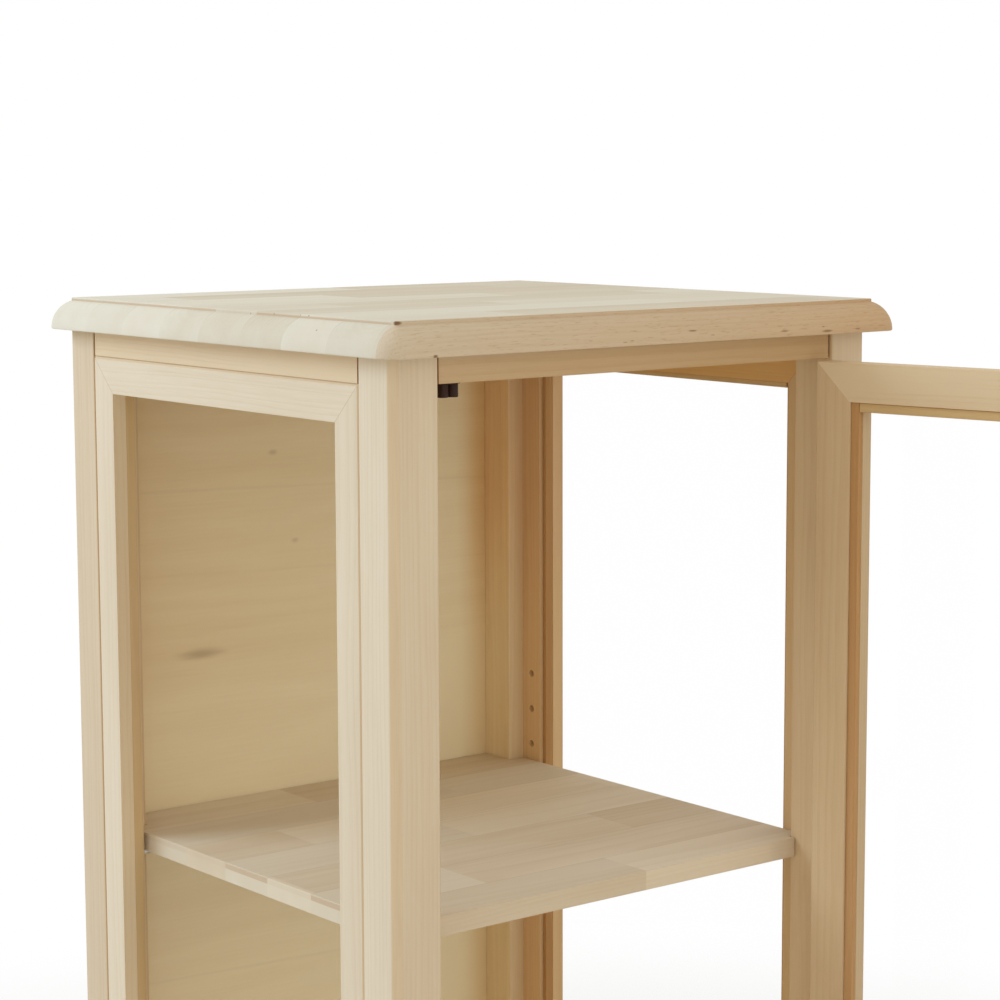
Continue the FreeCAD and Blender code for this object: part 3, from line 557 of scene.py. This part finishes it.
# Side glass: a 3 mm float pane from the inside against each frame's lip, held by small steel glazing points.
# The glass is clear and clean, with a faint reflection, and the points are zinc-plated triangles.
def clear_glass(name):
    """Clear glass with a trace of dust, which mirrors more at a glancing angle."""
    material = bpy.data.materials.new(name)
    material.use_nodes = True
    tree = material.node_tree
    tree.nodes.clear()
    start = Value(tree)
    here = start.node("ShaderNodeTexCoord", out="Object")
    facing = start.node("ShaderNodeLayerWeight", {}, {"Blend": 0.5}, out="Facing")
    dust = here.stretched(9, 9).noise(4.0)
    clear = start.node("ShaderNodeBsdfTransparent", {}, {"Color": (0.998, 1.0, 0.999, 1)})
    shine = start.node("ShaderNodeBsdfAnisotropic", {}, {"Color": (0.95, 0.97, 0.96, 1), "Roughness": 0.02})
    mirror = 0.003 + 0.002 * dust + 0.9 * facing ** 8.0
    pane = start.node("ShaderNodeMixShader", {}, {0: mirror, 1: clear, 2: shine})
    start.node("ShaderNodeOutputMaterial", {}, {"Surface": pane})
    return material


def plated(name, colour, worn, roughness=0.32):
    """Plated metal with a fine brushed grain and cloudy patches."""
    material, shader, start = finish(name, Metallic=1.0)
    here = start.node("ShaderNodeTexCoord", out="Object")
    cloud = here.stretched(120, 120).noise(3.0)
    brush = here.stretched(300, 5200).noise(2.0)
    share = cloud.band(0.35, 0.75) * 0.6 + (brush - 0.5) * 0.3
    join(start.mix(share, (*colour, 1), (*worn, 1)), shader, "Base Color")
    join(roughness + 0.16 * cloud + 0.08 * brush, shader, "Roughness")
    relief(brush, shader, strength=0.2, depth=0.00005)
    return material


def dress(node, material):
    """Give a CAD node its finish."""
    mesh = frame["nodes"][node].data
    mesh.materials.clear()
    mesh.materials.append(material)


PANE = {"width": 0.0003, "slot": "clear_glass", "room": 0.00006}
glass = clear_glass("clear_glass")
zinc = plated("zinc_plate", (0.66, 0.67, 0.66), (0.52, 0.53, 0.50))
dull_zinc = plated("dull_zinc", (0.36, 0.33, 0.29), (0.24, 0.21, 0.18), roughness=0.55)
for side in ("left", "right"):
    sanded(side + "_glass", glass, **PANE)
    dress(side + "_glazing_points", dull_zinc)


# Glazing beads: thin planed strips of a yellower wood, pinned in the rebate and grooved for the pane's edge.
# The upright strips run the whole height, and the level ones are cut between them, a little short.
BEAD_PALE = (0.650, 0.450, 0.210, 1)
BEAD_DEEP = (0.500, 0.310, 0.125, 1)
# Painted shade for the upright beads, darker and redder where the stiles shade them
BEAD_SHADE = (0.93, 0.78, 0.69, 1)
PLAIN = (1, 1, 1, 1)
BEAD_ARRIS = 0.0003
BEAD_GAP = 0.0003
BEAD_ROOM = 0.00005
PANE_PLAY = 0.0008


def beads(pane, along, inward, rebate, cover, end_gap, grain, seed, upright_shade_tone=0.0, upright_shade=PLAIN):
    """Four strips round a pane, which cover its edge on the side that looks into the cabinet."""
    axes = (along, inward, UP)
    corners = [v.co for v in frame["nodes"][pane].data.vertices]
    reaches = [[corner.dot(axis) for corner in corners] for axis in axes]
    (u0, u1), (n0, n1), (z0, z1) = ((min(reach), max(reach)) for reach in reaches)
    u0, u1, z0, z1 = u0 - PANE_PLAY, u1 + PANE_PLAY, z0 - PANE_PLAY, z1 + PANE_PLAY
    low, high = BEAD_GAP, rebate - BEAD_GAP
    cut = high + end_gap
    back, cap = n0 + BEAD_ROOM, n1 + cover
    strips = ((u0 + low, u0 + high, z0 + low, z1 - low), (u1 - high, u1 - low, z0 + low, z1 - low),
              (u0 + cut, u1 - cut, z0 + low, z0 + high), (u0 + cut, u1 - cut, z1 - high, z1 - low))
    turn = Matrix(axes).transposed().to_4x4()
    shape = bmesh.new()
    for number, (left, right, base, top) in enumerate(strips):
        middle = Matrix.Translation(((left + right) / 2, (back + cap) / 2, (base + top) / 2))
        size = Matrix.Diagonal((right - left, cap - back, top - base, 1))
        made = bmesh.ops.create_cube(shape, size=1.0, matrix=turn @ middle @ size)
        for face in {f for v in made["verts"] for f in v.link_faces}:
            face.material_index = number // 2
    bmesh.ops.recalc_face_normals(shape, faces=shape.faces)
    bmesh.ops.bevel(shape, geom=shape.edges[:], offset=BEAD_ARRIS, segments=2, profile=0.5, affect="EDGES")
    name = pane.replace("glass", "glazing_beads")
    mesh = bpy.data.meshes.new(name)
    shape.to_mesh(mesh)
    shape.free()
    # Upright strips may be drawn darker and redder: painted shade, where the stiles shade them
    for place, run, tone, tint in (("upright", "z", upright_shade_tone, upright_shade),
                                   ("level", grain, 0.0, PLAIN)):
        pale, deep = ([c * t for c, t in zip(colour, tint)] for colour in (BEAD_PALE, BEAD_DEEP))
        wood = timber(pane, run, seed, tone, pale, deep, inner=PLAIN)
        wood.name = f"{name}_{place}"
        mesh.materials.append(wood)
    piece = bpy.data.objects.new(name, mesh)
    bpy.context.scene.collection.objects.link(piece)
    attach(piece, frame["nodes"][pane]["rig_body"])


SIDE_BEAD = {"rebate": 0.0046, "cover": 0.0050, "end_gap": 0.0010, "grain": "y"}
beads("left_glass", Vector((0, 1, 0)), Vector((1, 0, 0)), seed=61, **SIDE_BEAD)
beads("right_glass", Vector((0, 1, 0)), Vector((-1, 0, 0)), seed=62, upright_shade_tone=0.6, upright_shade=BEAD_SHADE,
      **SIDE_BEAD)


# Bottom board: staves of the same wood, finger-jointed and edge-glued to a board 16 mm thick.
# It is notched round the posts and laid on the bottom rails, and its own weight holds it.
BOTTOM_STAVE = 0.062
sanded("bottom_board", timber("bottom_board", "x", 71, 0.08, stave=BOTTOM_STAVE))


# Shelf pins and shelves: turned steel pins pushed into the 6 mm holes carry two loose edge-glued boards.
# The collar of each pin rests against the stile and the shelf lies on the pin's nose.
SHELF_STAVE = 0.058
pin = Pattern("shelf_pin", radius=0.00295, collar=0.005, depth=0.0095, collar_width=0.0015, nose=0.010)
pin_bevel, collar_bevel, nose_bevel = pin["radius"] * 0.2, pin["collar_width"] * 0.3, pin["radius"] * 0.25
pin_collar_end = pin["depth"] + pin["collar_width"]
pin.cone(pin["radius"] * 0.8, pin["radius"], 0.0, pin_bevel)
pin.cone(pin["radius"], pin["radius"], pin_bevel, pin["depth"] - pin_bevel)
pin.cone(pin["collar"] * 0.97, pin["collar"], pin["depth"], collar_bevel)
pin.cone(pin["collar"], pin["collar"] * 0.9, pin["depth"] + collar_bevel, pin["collar_width"] * 0.7)
pin.cone(pin["radius"], pin["radius"], pin_collar_end, pin["nose"] - nose_bevel)
pin.cone(pin["radius"], pin["radius"] * 0.75, pin_collar_end + pin["nose"] - nose_bevel, nose_bevel)
pin.close()


def out_of_stile(middle):
    """Way of a shelf pin from the bottom of its hole into the cabinet."""
    return Vector((-1 if middle.x > 0 else 1, 0, 0))


for seed, shelf in enumerate(("upper", "lower"), start=81):
    pin.set_on(shelf + "_shelf_pins", out_of_stile, zinc, "plated_steel")
    sanded(shelf + "_shelf", timber(shelf + "_shelf", "x", seed, 0.06, stave=SHELF_STAVE))


# Back panel: thin three-ply with a rotary-cut face, its grain lying level, set in rebates of the rear posts.
# The face has long wavy figure, a few small knots and one long dark one; the edges show the three plies.
PANEL_PALE = (0.94, 0.835, 0.585, 1)
PANEL_DEEP = (0.73, 0.545, 0.300, 1)
PANEL_CORNER_SHADE = (0.87, 0.69, 0.49, 1)
PANEL_REAR = (0.62, 0.505, 0.350, 1)
PANEL_LINE = (0.30, 0.19, 0.10, 1)
PANEL_KNOT = (0.33, 0.20, 0.10, 1)
PANEL_EDGE = (0.42, 0.28, 0.15, 1)
PANEL_LINES = ((1.0325, 0.06), (0.962, 0.03), (0.62, 0.05))
PANEL_FACE, PANEL_MIDDLE = 0.2136, 0.2158
KNOT_DEPTH = 0.02
PANEL_KNOTS = [((x, PANEL_FACE, z), (length, KNOT_DEPTH, height), strength)
               for x, z, length, height, strength in ((-0.038, 1.063, 0.0055, 0.0030, 0.34),
                                                      (-0.0165, 0.9863, 0.0045, 0.0028, 0.28),
                                                      (-0.112, 0.899, 0.030, 0.0062, 0.50),
                                                      (0.085, 0.66, 0.014, 0.0050, 0.40),
                                                      (-0.09, 0.35, 0.010, 0.0040, 0.45))]


def three_ply(node):
    """Raw plywood, with painted light: paler to the right and below, where more light falls on it."""
    material, shader, start = finish(node + "_ply", Specular_IOR_Level=0.3)
    here = start.node("ShaderNodeTexCoord", out="Object")
    outward = start.node("ShaderNodeTexCoord", out="Normal")
    across, up = here.part("X"), here.part("Z")
    drift = here.stretched(1.6, 7).noise(3.0, 0.55)
    figure = up * 34.0 + drift * 5.5 + here.part("Y") * 3.0
    figure = figure.math("SINE", figure * math.tau)
    fibre = here.stretched(18, 750).noise(3.0, 0.6)
    broad = here.stretched(2.0, 16).noise(2.0)
    # Painted light: the face is drawn paler to the right and below, where more light reaches it
    share = figure * 0.035 + (fibre - 0.5) * 0.27 + (broad - 0.5) * 0.34 + 0.36 - across * 1.8 \
        + up.band(0.80, 1.12) * 0.17 + (up.band(0.80, 0.93) - 1.0) * 0.35
    colour = start.mix(share, PANEL_PALE, PANEL_DEEP)
    # Painted shade: towards the right rear post the veneer is drawn darker, most of all near the top, for the
    # shade in that corner
    corner = across.band(0.154, 0.187) * (0.45 + 0.55 * up.band(0.85, 1.03))
    colour = colour.times(corner, PANEL_CORNER_SHADE)
    # The rear face is the poorer veneer, greyer and darker
    colour = colour.tint(outward.part("Y").band(0.2, 0.8) * 0.7, PANEL_REAR)
    for level, strength in PANEL_LINES:
        line = abs(up + across * 0.036 - level + (drift - 0.5) * 0.004)
        colour = colour.tint((1.0 - line.band(0.0003, 0.0020)) * strength, PANEL_LINE)
    ragged = (fibre - 0.5) * 0.9 + (broad - 0.5) * 0.6
    colour = knotted(colour, here, PANEL_KNOTS, ragged, (0.1, 1.1), PANEL_KNOT)
    edges = abs(outward.part("Y")).band(0.8, 0.3)
    ply = abs(here.part("Y") - PANEL_MIDDLE).band(0.0009, 0.0006)
    colour = colour.tint(edges * (0.25 + 0.4 * ply), PANEL_EDGE)
    join(colour, shader, "Base Color")
    join(0.58 + 0.14 * fibre, shader, "Roughness")
    relief(fibre, shader, strength=0.3, depth=0.0002)
    return material


dress("back_panel", three_ply("back_panel"))


# Staples: flat galvanised wire bent to a crown and two legs, the legs with a small round at each bend.
# They are driven from behind through the panel into the posts' rebates and the rear rails.
staple = Pattern("staple", crown=0.010, leg=0.012, width=0.0012, wire=0.0006)
line = staple.value.node("GeometryNodeMeshLine", {}, {"Count": 4})
index = line.node("GeometryNodeInputIndex")
leg_side = (index.math("GREATER_THAN", index, 1.5) - 0.5) * (staple["crown"] - staple["wire"])
on_crown = index.math("COMPARE", index, 1.5, 0.9)
leg_depth = (1.0 - on_crown) * (staple["leg"] + staple["wire"] * 0.5) + staple["wire"] * 0.5
bend = line.node("ShaderNodeCombineXYZ", {}, {"X": leg_side, "Z": leg_depth})
line = line.node("GeometryNodeSetPosition", {}, {"Geometry": line, "Position": bend})
wire = line.node("GeometryNodeMeshToCurve", {}, {"Mesh": line})
wire = wire.node("GeometryNodeFilletCurve", {"mode": "POLY"},
                 {"Curve": wire, "Radius": staple["wire"], "Count": 3})
flat = wire.node("GeometryNodeCurvePrimitiveQuadrilateral", {},
                 {"Width": staple["wire"], "Height": staple["width"]})
staple.solids.append(wire.node("GeometryNodeCurveToMesh", {},
                               {"Curve": wire, "Profile Curve": flat, "Fill Caps": True}))


def crown_way(points):
    """Which way a staple's crown lies."""
    spread = [max(c) - min(c) for c in zip(*points)]
    return Vector((1, 0, 0)) if spread[0] > spread[2] else UP


staple.close()
staple.set_on("back_panel_staples", Vector((0, -1, 0)), zinc, "plated_steel", smooth=35, lie=crown_way)


# Top board: edge-glued staves with the grain across the front, and a moulding run all round with a router.
# The left and right edges show the staves' end grain; small knots lie on the front edge.
TOP_PALE = (0.760, 0.714, 0.591, 1)
TOP_DEEP = (0.598, 0.499, 0.352, 1)
TOP_STAVE = 0.0542
TOP_ARRIS = 0.0008
STRIP_EDGE = -0.221
# Painted shade on the front strip: darker and redder to the right
STRIP_RIGHT_SHADE = ((0.82, 0.585, 0.39, 1), 0.62, 1.05)
CORNER_KNOTS = [((-0.2270, -0.2222, 1.1988), (0.0055, 0.0030, 0.0020), 0.95),
                ((-0.2063, -0.2375, 1.1763), (0.0028, 0.0060, 0.0017), 0.95)]
FRONT_FACE, FRONT_DEPTH = -0.2370, 0.0060
FRONT_KNOTS = [((x, FRONT_FACE, z), (length, FRONT_DEPTH, height), strength)
               for x, z, length, height, strength in ((-0.0381, 1.1785, 0.0030, 0.0006, 0.45),
                                                      (-0.0315, 1.1793, 0.0025, 0.0006, 0.45),
                                                      (0.0276, 1.1839, 0.0050, 0.0009, 0.65),
                                                      (0.0464, 1.1802, 0.0025, 0.0006, 0.40),
                                                      (0.1190, 1.1800, 0.0050, 0.0009, 0.60),
                                                      (0.1638, 1.1783, 0.0070, 0.0013, 0.70),
                                                      (0.1600, 1.1817, 0.0020, 0.0008, 0.55),
                                                      (0.1965, 1.1786, 0.0035, 0.0009, 0.55))]
SPECK_DEPTH, SPECK_HEIGHT = 0.0030, 0.0008
LEFT_SPECKS = [(spot, (SPECK_DEPTH, length, SPECK_HEIGHT), strength)
               for spot, length, strength in (((-0.2290, -0.0470, 1.1980), 0.0010, 0.60),
                                              ((-0.2290, -0.0773, 1.1990), 0.0012, 0.60),
                                              ((-0.2290, -0.1100, 1.1995), 0.0009, 0.75),
                                              ((-0.2290, -0.1205, 1.1995), 0.0010, 0.75),
                                              ((-0.2390, -0.1450, 1.1910), 0.0009, 0.65))]
sanded("top_board", timber("top_board", "x", 91, 0.0, TOP_PALE, TOP_DEEP, TOP_STAVE,
                           CORNER_KNOTS + FRONT_KNOTS + LEFT_SPECKS, STRIP_EDGE, STRIP_RIGHT_SHADE), TOP_ARRIS)


# Screws: slotted countersunk steel wood screws, turned and zinc-plated, with a shank that tapers to a point.
# Eight of them go up through the top rails into the board and draw it down.
SHANK_SIDES = 12
screw = Pattern("wood_screw", head=0.004, cone=0.0022, shank=0.002, length=0.036, groove=0.0009,
                groove_depth=0.0009)
screw.cone(screw["head"], screw["shank"], 0.0, screw["cone"])
groove = screw.value.node("ShaderNodeCombineXYZ", {}, {0: screw["head"] * 2.4, 1: screw["groove"],
                                                       2: screw["groove_depth"] * 2.0})
cutter = screw.value.node("GeometryNodeMeshCube", {}, {"Size": groove})
screw.solids = [cutter.node("GeometryNodeMeshBoolean", {"operation": "DIFFERENCE"},
                            {"Mesh 1": screw.solids[0], "Mesh 2": cutter})]
point_start, neck = screw["length"] * 0.75, screw["shank"] * 0.8
screw.cone(screw["shank"], neck, screw["cone"], point_start - screw["cone"], SHANK_SIDES)
screw.cone(neck, 0.0002, point_start, screw["length"] * 0.25, SHANK_SIDES)
screw.close()
screw.set_on("top_fixing_screws", UP, zinc, "plated_steel", smooth=35)


# Door: four mitred members with a rebate on the inside for the glass, hung on the right.
# It stands open as in the picture, so its own length runs forward.
DOOR_ARRIS = 0.0004
# A faint painted shade on the door's inner faces
DOOR_INNER_SHADE = (0.998, 0.977, 0.945, 1)
DOOR_TONES = {"top_rail": -0.30, "bottom_rail": -0.10, "hinge_stile": 0.40, "closing_stile": 0.05}
SWING = Matrix.Rotation(DOOR_TURN, 3, "Z")
door_right, door_back = SWING @ Vector((1, 0, 0)), SWING @ Vector((0, 1, 0))
for seed, (member, tone) in enumerate(DOOR_TONES.items(), start=101):
    node = "door_" + member
    grain = "door" if "rail" in member else "z"
    sanded(node, timber(node, grain, seed, tone, WARM_PALE, WARM_DEEP, inner=DOOR_INNER_SHADE), DOOR_ARRIS,
           flat=door_back)
sanded("door_glass", glass, **PANE)
beads("door_glass", door_right, door_back, rebate=0.0075, cover=0.0023, end_gap=0.0003, grain="door",
      seed=111, upright_shade_tone=0.4, upright_shade=BEAD_SHADE)
dress("door_glazing_points", dull_zinc)


# Hinges: two butt hinges of pressed brass with a separate pin, let into the hinge stile and the post.
# Four slotted brass screws hold each of them, two to a leaf.
FITTING_SCREW = {"head": 0.0024, "cone": 0.0011, "shank": 0.0013, "length": 0.014,
                 "groove": 0.0006, "groove_depth": 0.0006}
brass = plated("satin_brass", (0.78, 0.58, 0.27), (0.60, 0.42, 0.19), roughness=0.28)
for level in ("upper", "lower"):
    for part in ("post_leaf", "door_leaf", "pin"):
        dress(f"hinge_{level}_{part}", brass)
screw.set_on("hinge_post_screws", Vector((1, 0, 0)), brass, "brass_fittings", smooth=35, **FITTING_SCREW)
screw.set_on("hinge_door_screws", -door_right, brass, "brass_fittings", smooth=35, **FITTING_SCREW)


# Catch: a small dark brown plastic housing with two upright round pods, screwed under the front rail.
# A ferrite magnet is pushed into each pod from below, and the pods meet the plate on the door.
CATCH_ARRIS = 0.0004
sanded("catch_housing", moulded("brown_plastic", (0.040, 0.017, 0.010)), CATCH_ARRIS, slot="brown_plastic")
dress("catch_magnets", moulded("ferrite", (0.03, 0.03, 0.032), roughness=0.5, speckle=0.4))
screw.set_on("catch_screws", UP, zinc, "plated_steel", smooth=35, **FITTING_SCREW)


# Strike plate: a strip of zinc-plated steel, sheared and drilled, on the inside of the door's top rail.
# The magnets hold it when the door is shut, and a slotted screw fixes it at each end.
STRIKE_ARRIS = 0.0002
sanded("strike_plate", zinc, STRIKE_ARRIS, slot="plated_steel")
screw.set_on("strike_screws", -door_back, zinc, "plated_steel", smooth=35, **FITTING_SCREW)


# Knob: turned from the same wood with a flared foot, a waist and a domed head, then sanded smooth.
# A steel screw from the inside of the closing stile holds it.
KNOB_RINGS = ((0.0, 0.0), (0.0088, 0.0), (0.0090, 0.0012), (0.0072, 0.0040), (0.0060, 0.0078),
              (0.0072, 0.0112), (0.0120, 0.0142), (0.0146, 0.0172), (0.0143, 0.0208), (0.0112, 0.0240),
              (0.0062, 0.0256), (0.0, 0.0260))
KNOB_SIDES = 32
KNOB_SCREW = {"head": 0.004, "cone": 0.002, "shank": 0.002, "length": 0.033}
knob_way = -door_back
knob_low, knob_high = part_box("door_knob")
knob_middle = (knob_low + knob_high) / 2
knob_start = min(v.co.dot(knob_way) for v in frame["nodes"]["door_knob"].data.vertices)
knob_foot = knob_middle + knob_way * (knob_start - knob_middle.dot(knob_way))
knob_axes = Matrix((UP, knob_way.cross(UP), knob_way)).transposed()
knob_turns = [math.tau * i / KNOB_SIDES for i in range(KNOB_SIDES)]
shape = bmesh.new()
rings = []
for radius, height in KNOB_RINGS:
    spots = [Vector((radius * math.cos(a), radius * math.sin(a), height))
             for a in (knob_turns if radius else knob_turns[:1])]
    rings.append([shape.verts.new(knob_foot + knob_axes @ spot) for spot in spots])
for low, high in zip(rings, rings[1:]):
    for i in range(KNOB_SIDES):
        ring = [low[i % len(low)], low[(i + 1) % len(low)], high[(i + 1) % len(high)], high[i % len(high)]]
        shape.faces.new(list(dict.fromkeys(ring)))
bmesh.ops.recalc_face_normals(shape, faces=shape.faces)
mesh = bpy.data.meshes.new("door_knob_turned")
shape.to_mesh(mesh)
shape.free()
mesh.polygons.foreach_set("use_smooth", [True] * len(mesh.polygons))
mesh.materials.append(timber("door_knob", "knob", 121, 0.08))
knob = bpy.data.objects.new("door_knob_turned", mesh)
bpy.context.scene.collection.objects.link(knob)
rounding = knob.modifiers.new("Turned smooth", "SUBSURF")
rounding.levels = rounding.render_levels = 2
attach(knob, "door")
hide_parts("door_knob")
screw.set_on("knob_screw", knob_way, zinc, "plated_steel", smooth=35, **KNOB_SCREW)


# Studio: a pale matt floor that keeps the cabinet's shadow and turns to white in the distance.
# An even, slightly warm light comes from all round, and the surround shows as plain white behind it all.
WHITE = (1, 1, 1, 1)
FLOOR_COLOUR = (0.86, 0.855, 0.845, 1)
FLOOR_HALF = 60.0
FLOOR_FADE = (0.9, 2.4)
AMBIENT_COLOUR, AMBIENT_STRENGTH = (1.0, 0.955, 0.86, 1), 0.74


def sees_white(start):
    """1 for the rays that should see the plain white background."""
    seen = start.node("ShaderNodeLightPath", out="Is Camera Ray")
    for ray in ("Is Glossy Ray", "Is Transmission Ray"):
        seen = seen.math("MAXIMUM", seen, start.node("ShaderNodeLightPath", out=ray))
    return seen


mesh = bpy.data.meshes.new("studio_floor")
mesh.from_pydata([(x * FLOOR_HALF, y * FLOOR_HALF, 0) for x, y in ((-1, -1), (1, -1), (1, 1), (-1, 1))], [],
                 [(0, 1, 2, 3)])
floor = bpy.data.objects.new("studio_floor", mesh)
bpy.context.scene.collection.objects.link(floor)
paper = bpy.data.materials.new("pale_floor")
paper.use_nodes = True
paper.node_tree.nodes.clear()
start = Value(paper.node_tree)
here = start.node("ShaderNodeTexCoord", out="Object")
away = here.vector("LENGTH", here, out="Value")
lit = start.node("ShaderNodeBsdfDiffuse", {}, {"Color": FLOOR_COLOUR})
white = start.node("ShaderNodeEmission", {}, {"Color": WHITE, "Strength": 1.0})
far = start.node("ShaderNodeMixShader", {}, {0: away.band(*FLOOR_FADE) * sees_white(start), 1: lit, 2: white})
start.node("ShaderNodeOutputMaterial", {}, {"Surface": far})
mesh.materials.append(paper)

world = bpy.data.worlds.new("studio")
bpy.context.scene.world = world
world.use_nodes = True
world.node_tree.nodes.clear()
start = Value(world.node_tree)
ambient = start.node("ShaderNodeBackground", {}, {"Color": AMBIENT_COLOUR, "Strength": AMBIENT_STRENGTH})
white = start.node("ShaderNodeBackground", {}, {"Color": WHITE, "Strength": 1.0})
sky = start.node("ShaderNodeMixShader", {}, {0: sees_white(start), 1: ambient, 2: white})
start.node("ShaderNodeOutputWorld", {}, {"Surface": sky})


# Lamps: a large cool soft box behind the left shoulder gives the bright left side and top.
# A weak warm one fills the front; each is a square lamp that is aimed at the cabinet.
for name, spot, aim, size, power, colour in (
        ("left_soft_box", (-1.95, 1.25, 2.20), (-0.1, 0, 1.05), 1.2, 26, (0.79, 1.0, 1.27)),
        ("front_fill", (0.20, -2.20, 1.60), (0, -0.1, 0.9), 1.0, 4, (1.0, 0.82, 0.60))):
    lamp = bpy.data.lights.new(name, "AREA")
    lamp.shape, lamp.size, lamp.energy, lamp.color = "SQUARE", size, power, colour
    stand = bpy.data.objects.new(name, lamp)
    stand.location = spot
    stand.rotation_mode = "QUATERNION"
    stand.rotation_quaternion = (Vector(aim) - Vector(spot)).to_track_quat("-Z", "Y")
    bpy.context.scene.collection.objects.link(stand)


# Camera: a long lens on a stand to the front left, a little above the top board.
# It looks slightly down at the upper part of the cabinet and is turned a trace about its own axis.
LENS_SPOT = (-1.2778, -1.6561, 1.3042)
LENS_TURN, LENS_DOWN, LENS_ROLL = math.radians(51.55), math.radians(7.2), math.radians(-0.18)
LENS_LENGTH, SENSOR_WIDTH, VIEW_END = 95.9, 36.0, 200.0
forward = Vector((math.cos(LENS_DOWN) * math.cos(LENS_TURN), math.cos(LENS_DOWN) * math.sin(LENS_TURN),
                  -math.sin(LENS_DOWN)))
right = Vector((math.sin(LENS_TURN), -math.cos(LENS_TURN), 0))
upward = right.cross(forward)
right, upward = (right * math.cos(LENS_ROLL) + upward * math.sin(LENS_ROLL),
                 upward * math.cos(LENS_ROLL) - right * math.sin(LENS_ROLL))
lens = bpy.data.cameras.new("camera")
lens.lens, lens.sensor_width, lens.clip_end = LENS_LENGTH, SENSOR_WIDTH, VIEW_END
camera = bpy.data.objects.new("camera", lens)
camera.matrix_world = Matrix.Translation(LENS_SPOT) @ Matrix((right, upward, -forward)).transposed().to_4x4()
bpy.context.scene.collection.objects.link(camera)
bpy.context.scene.camera = camera
bpy.context.scene.view_settings.view_transform = "Standard"
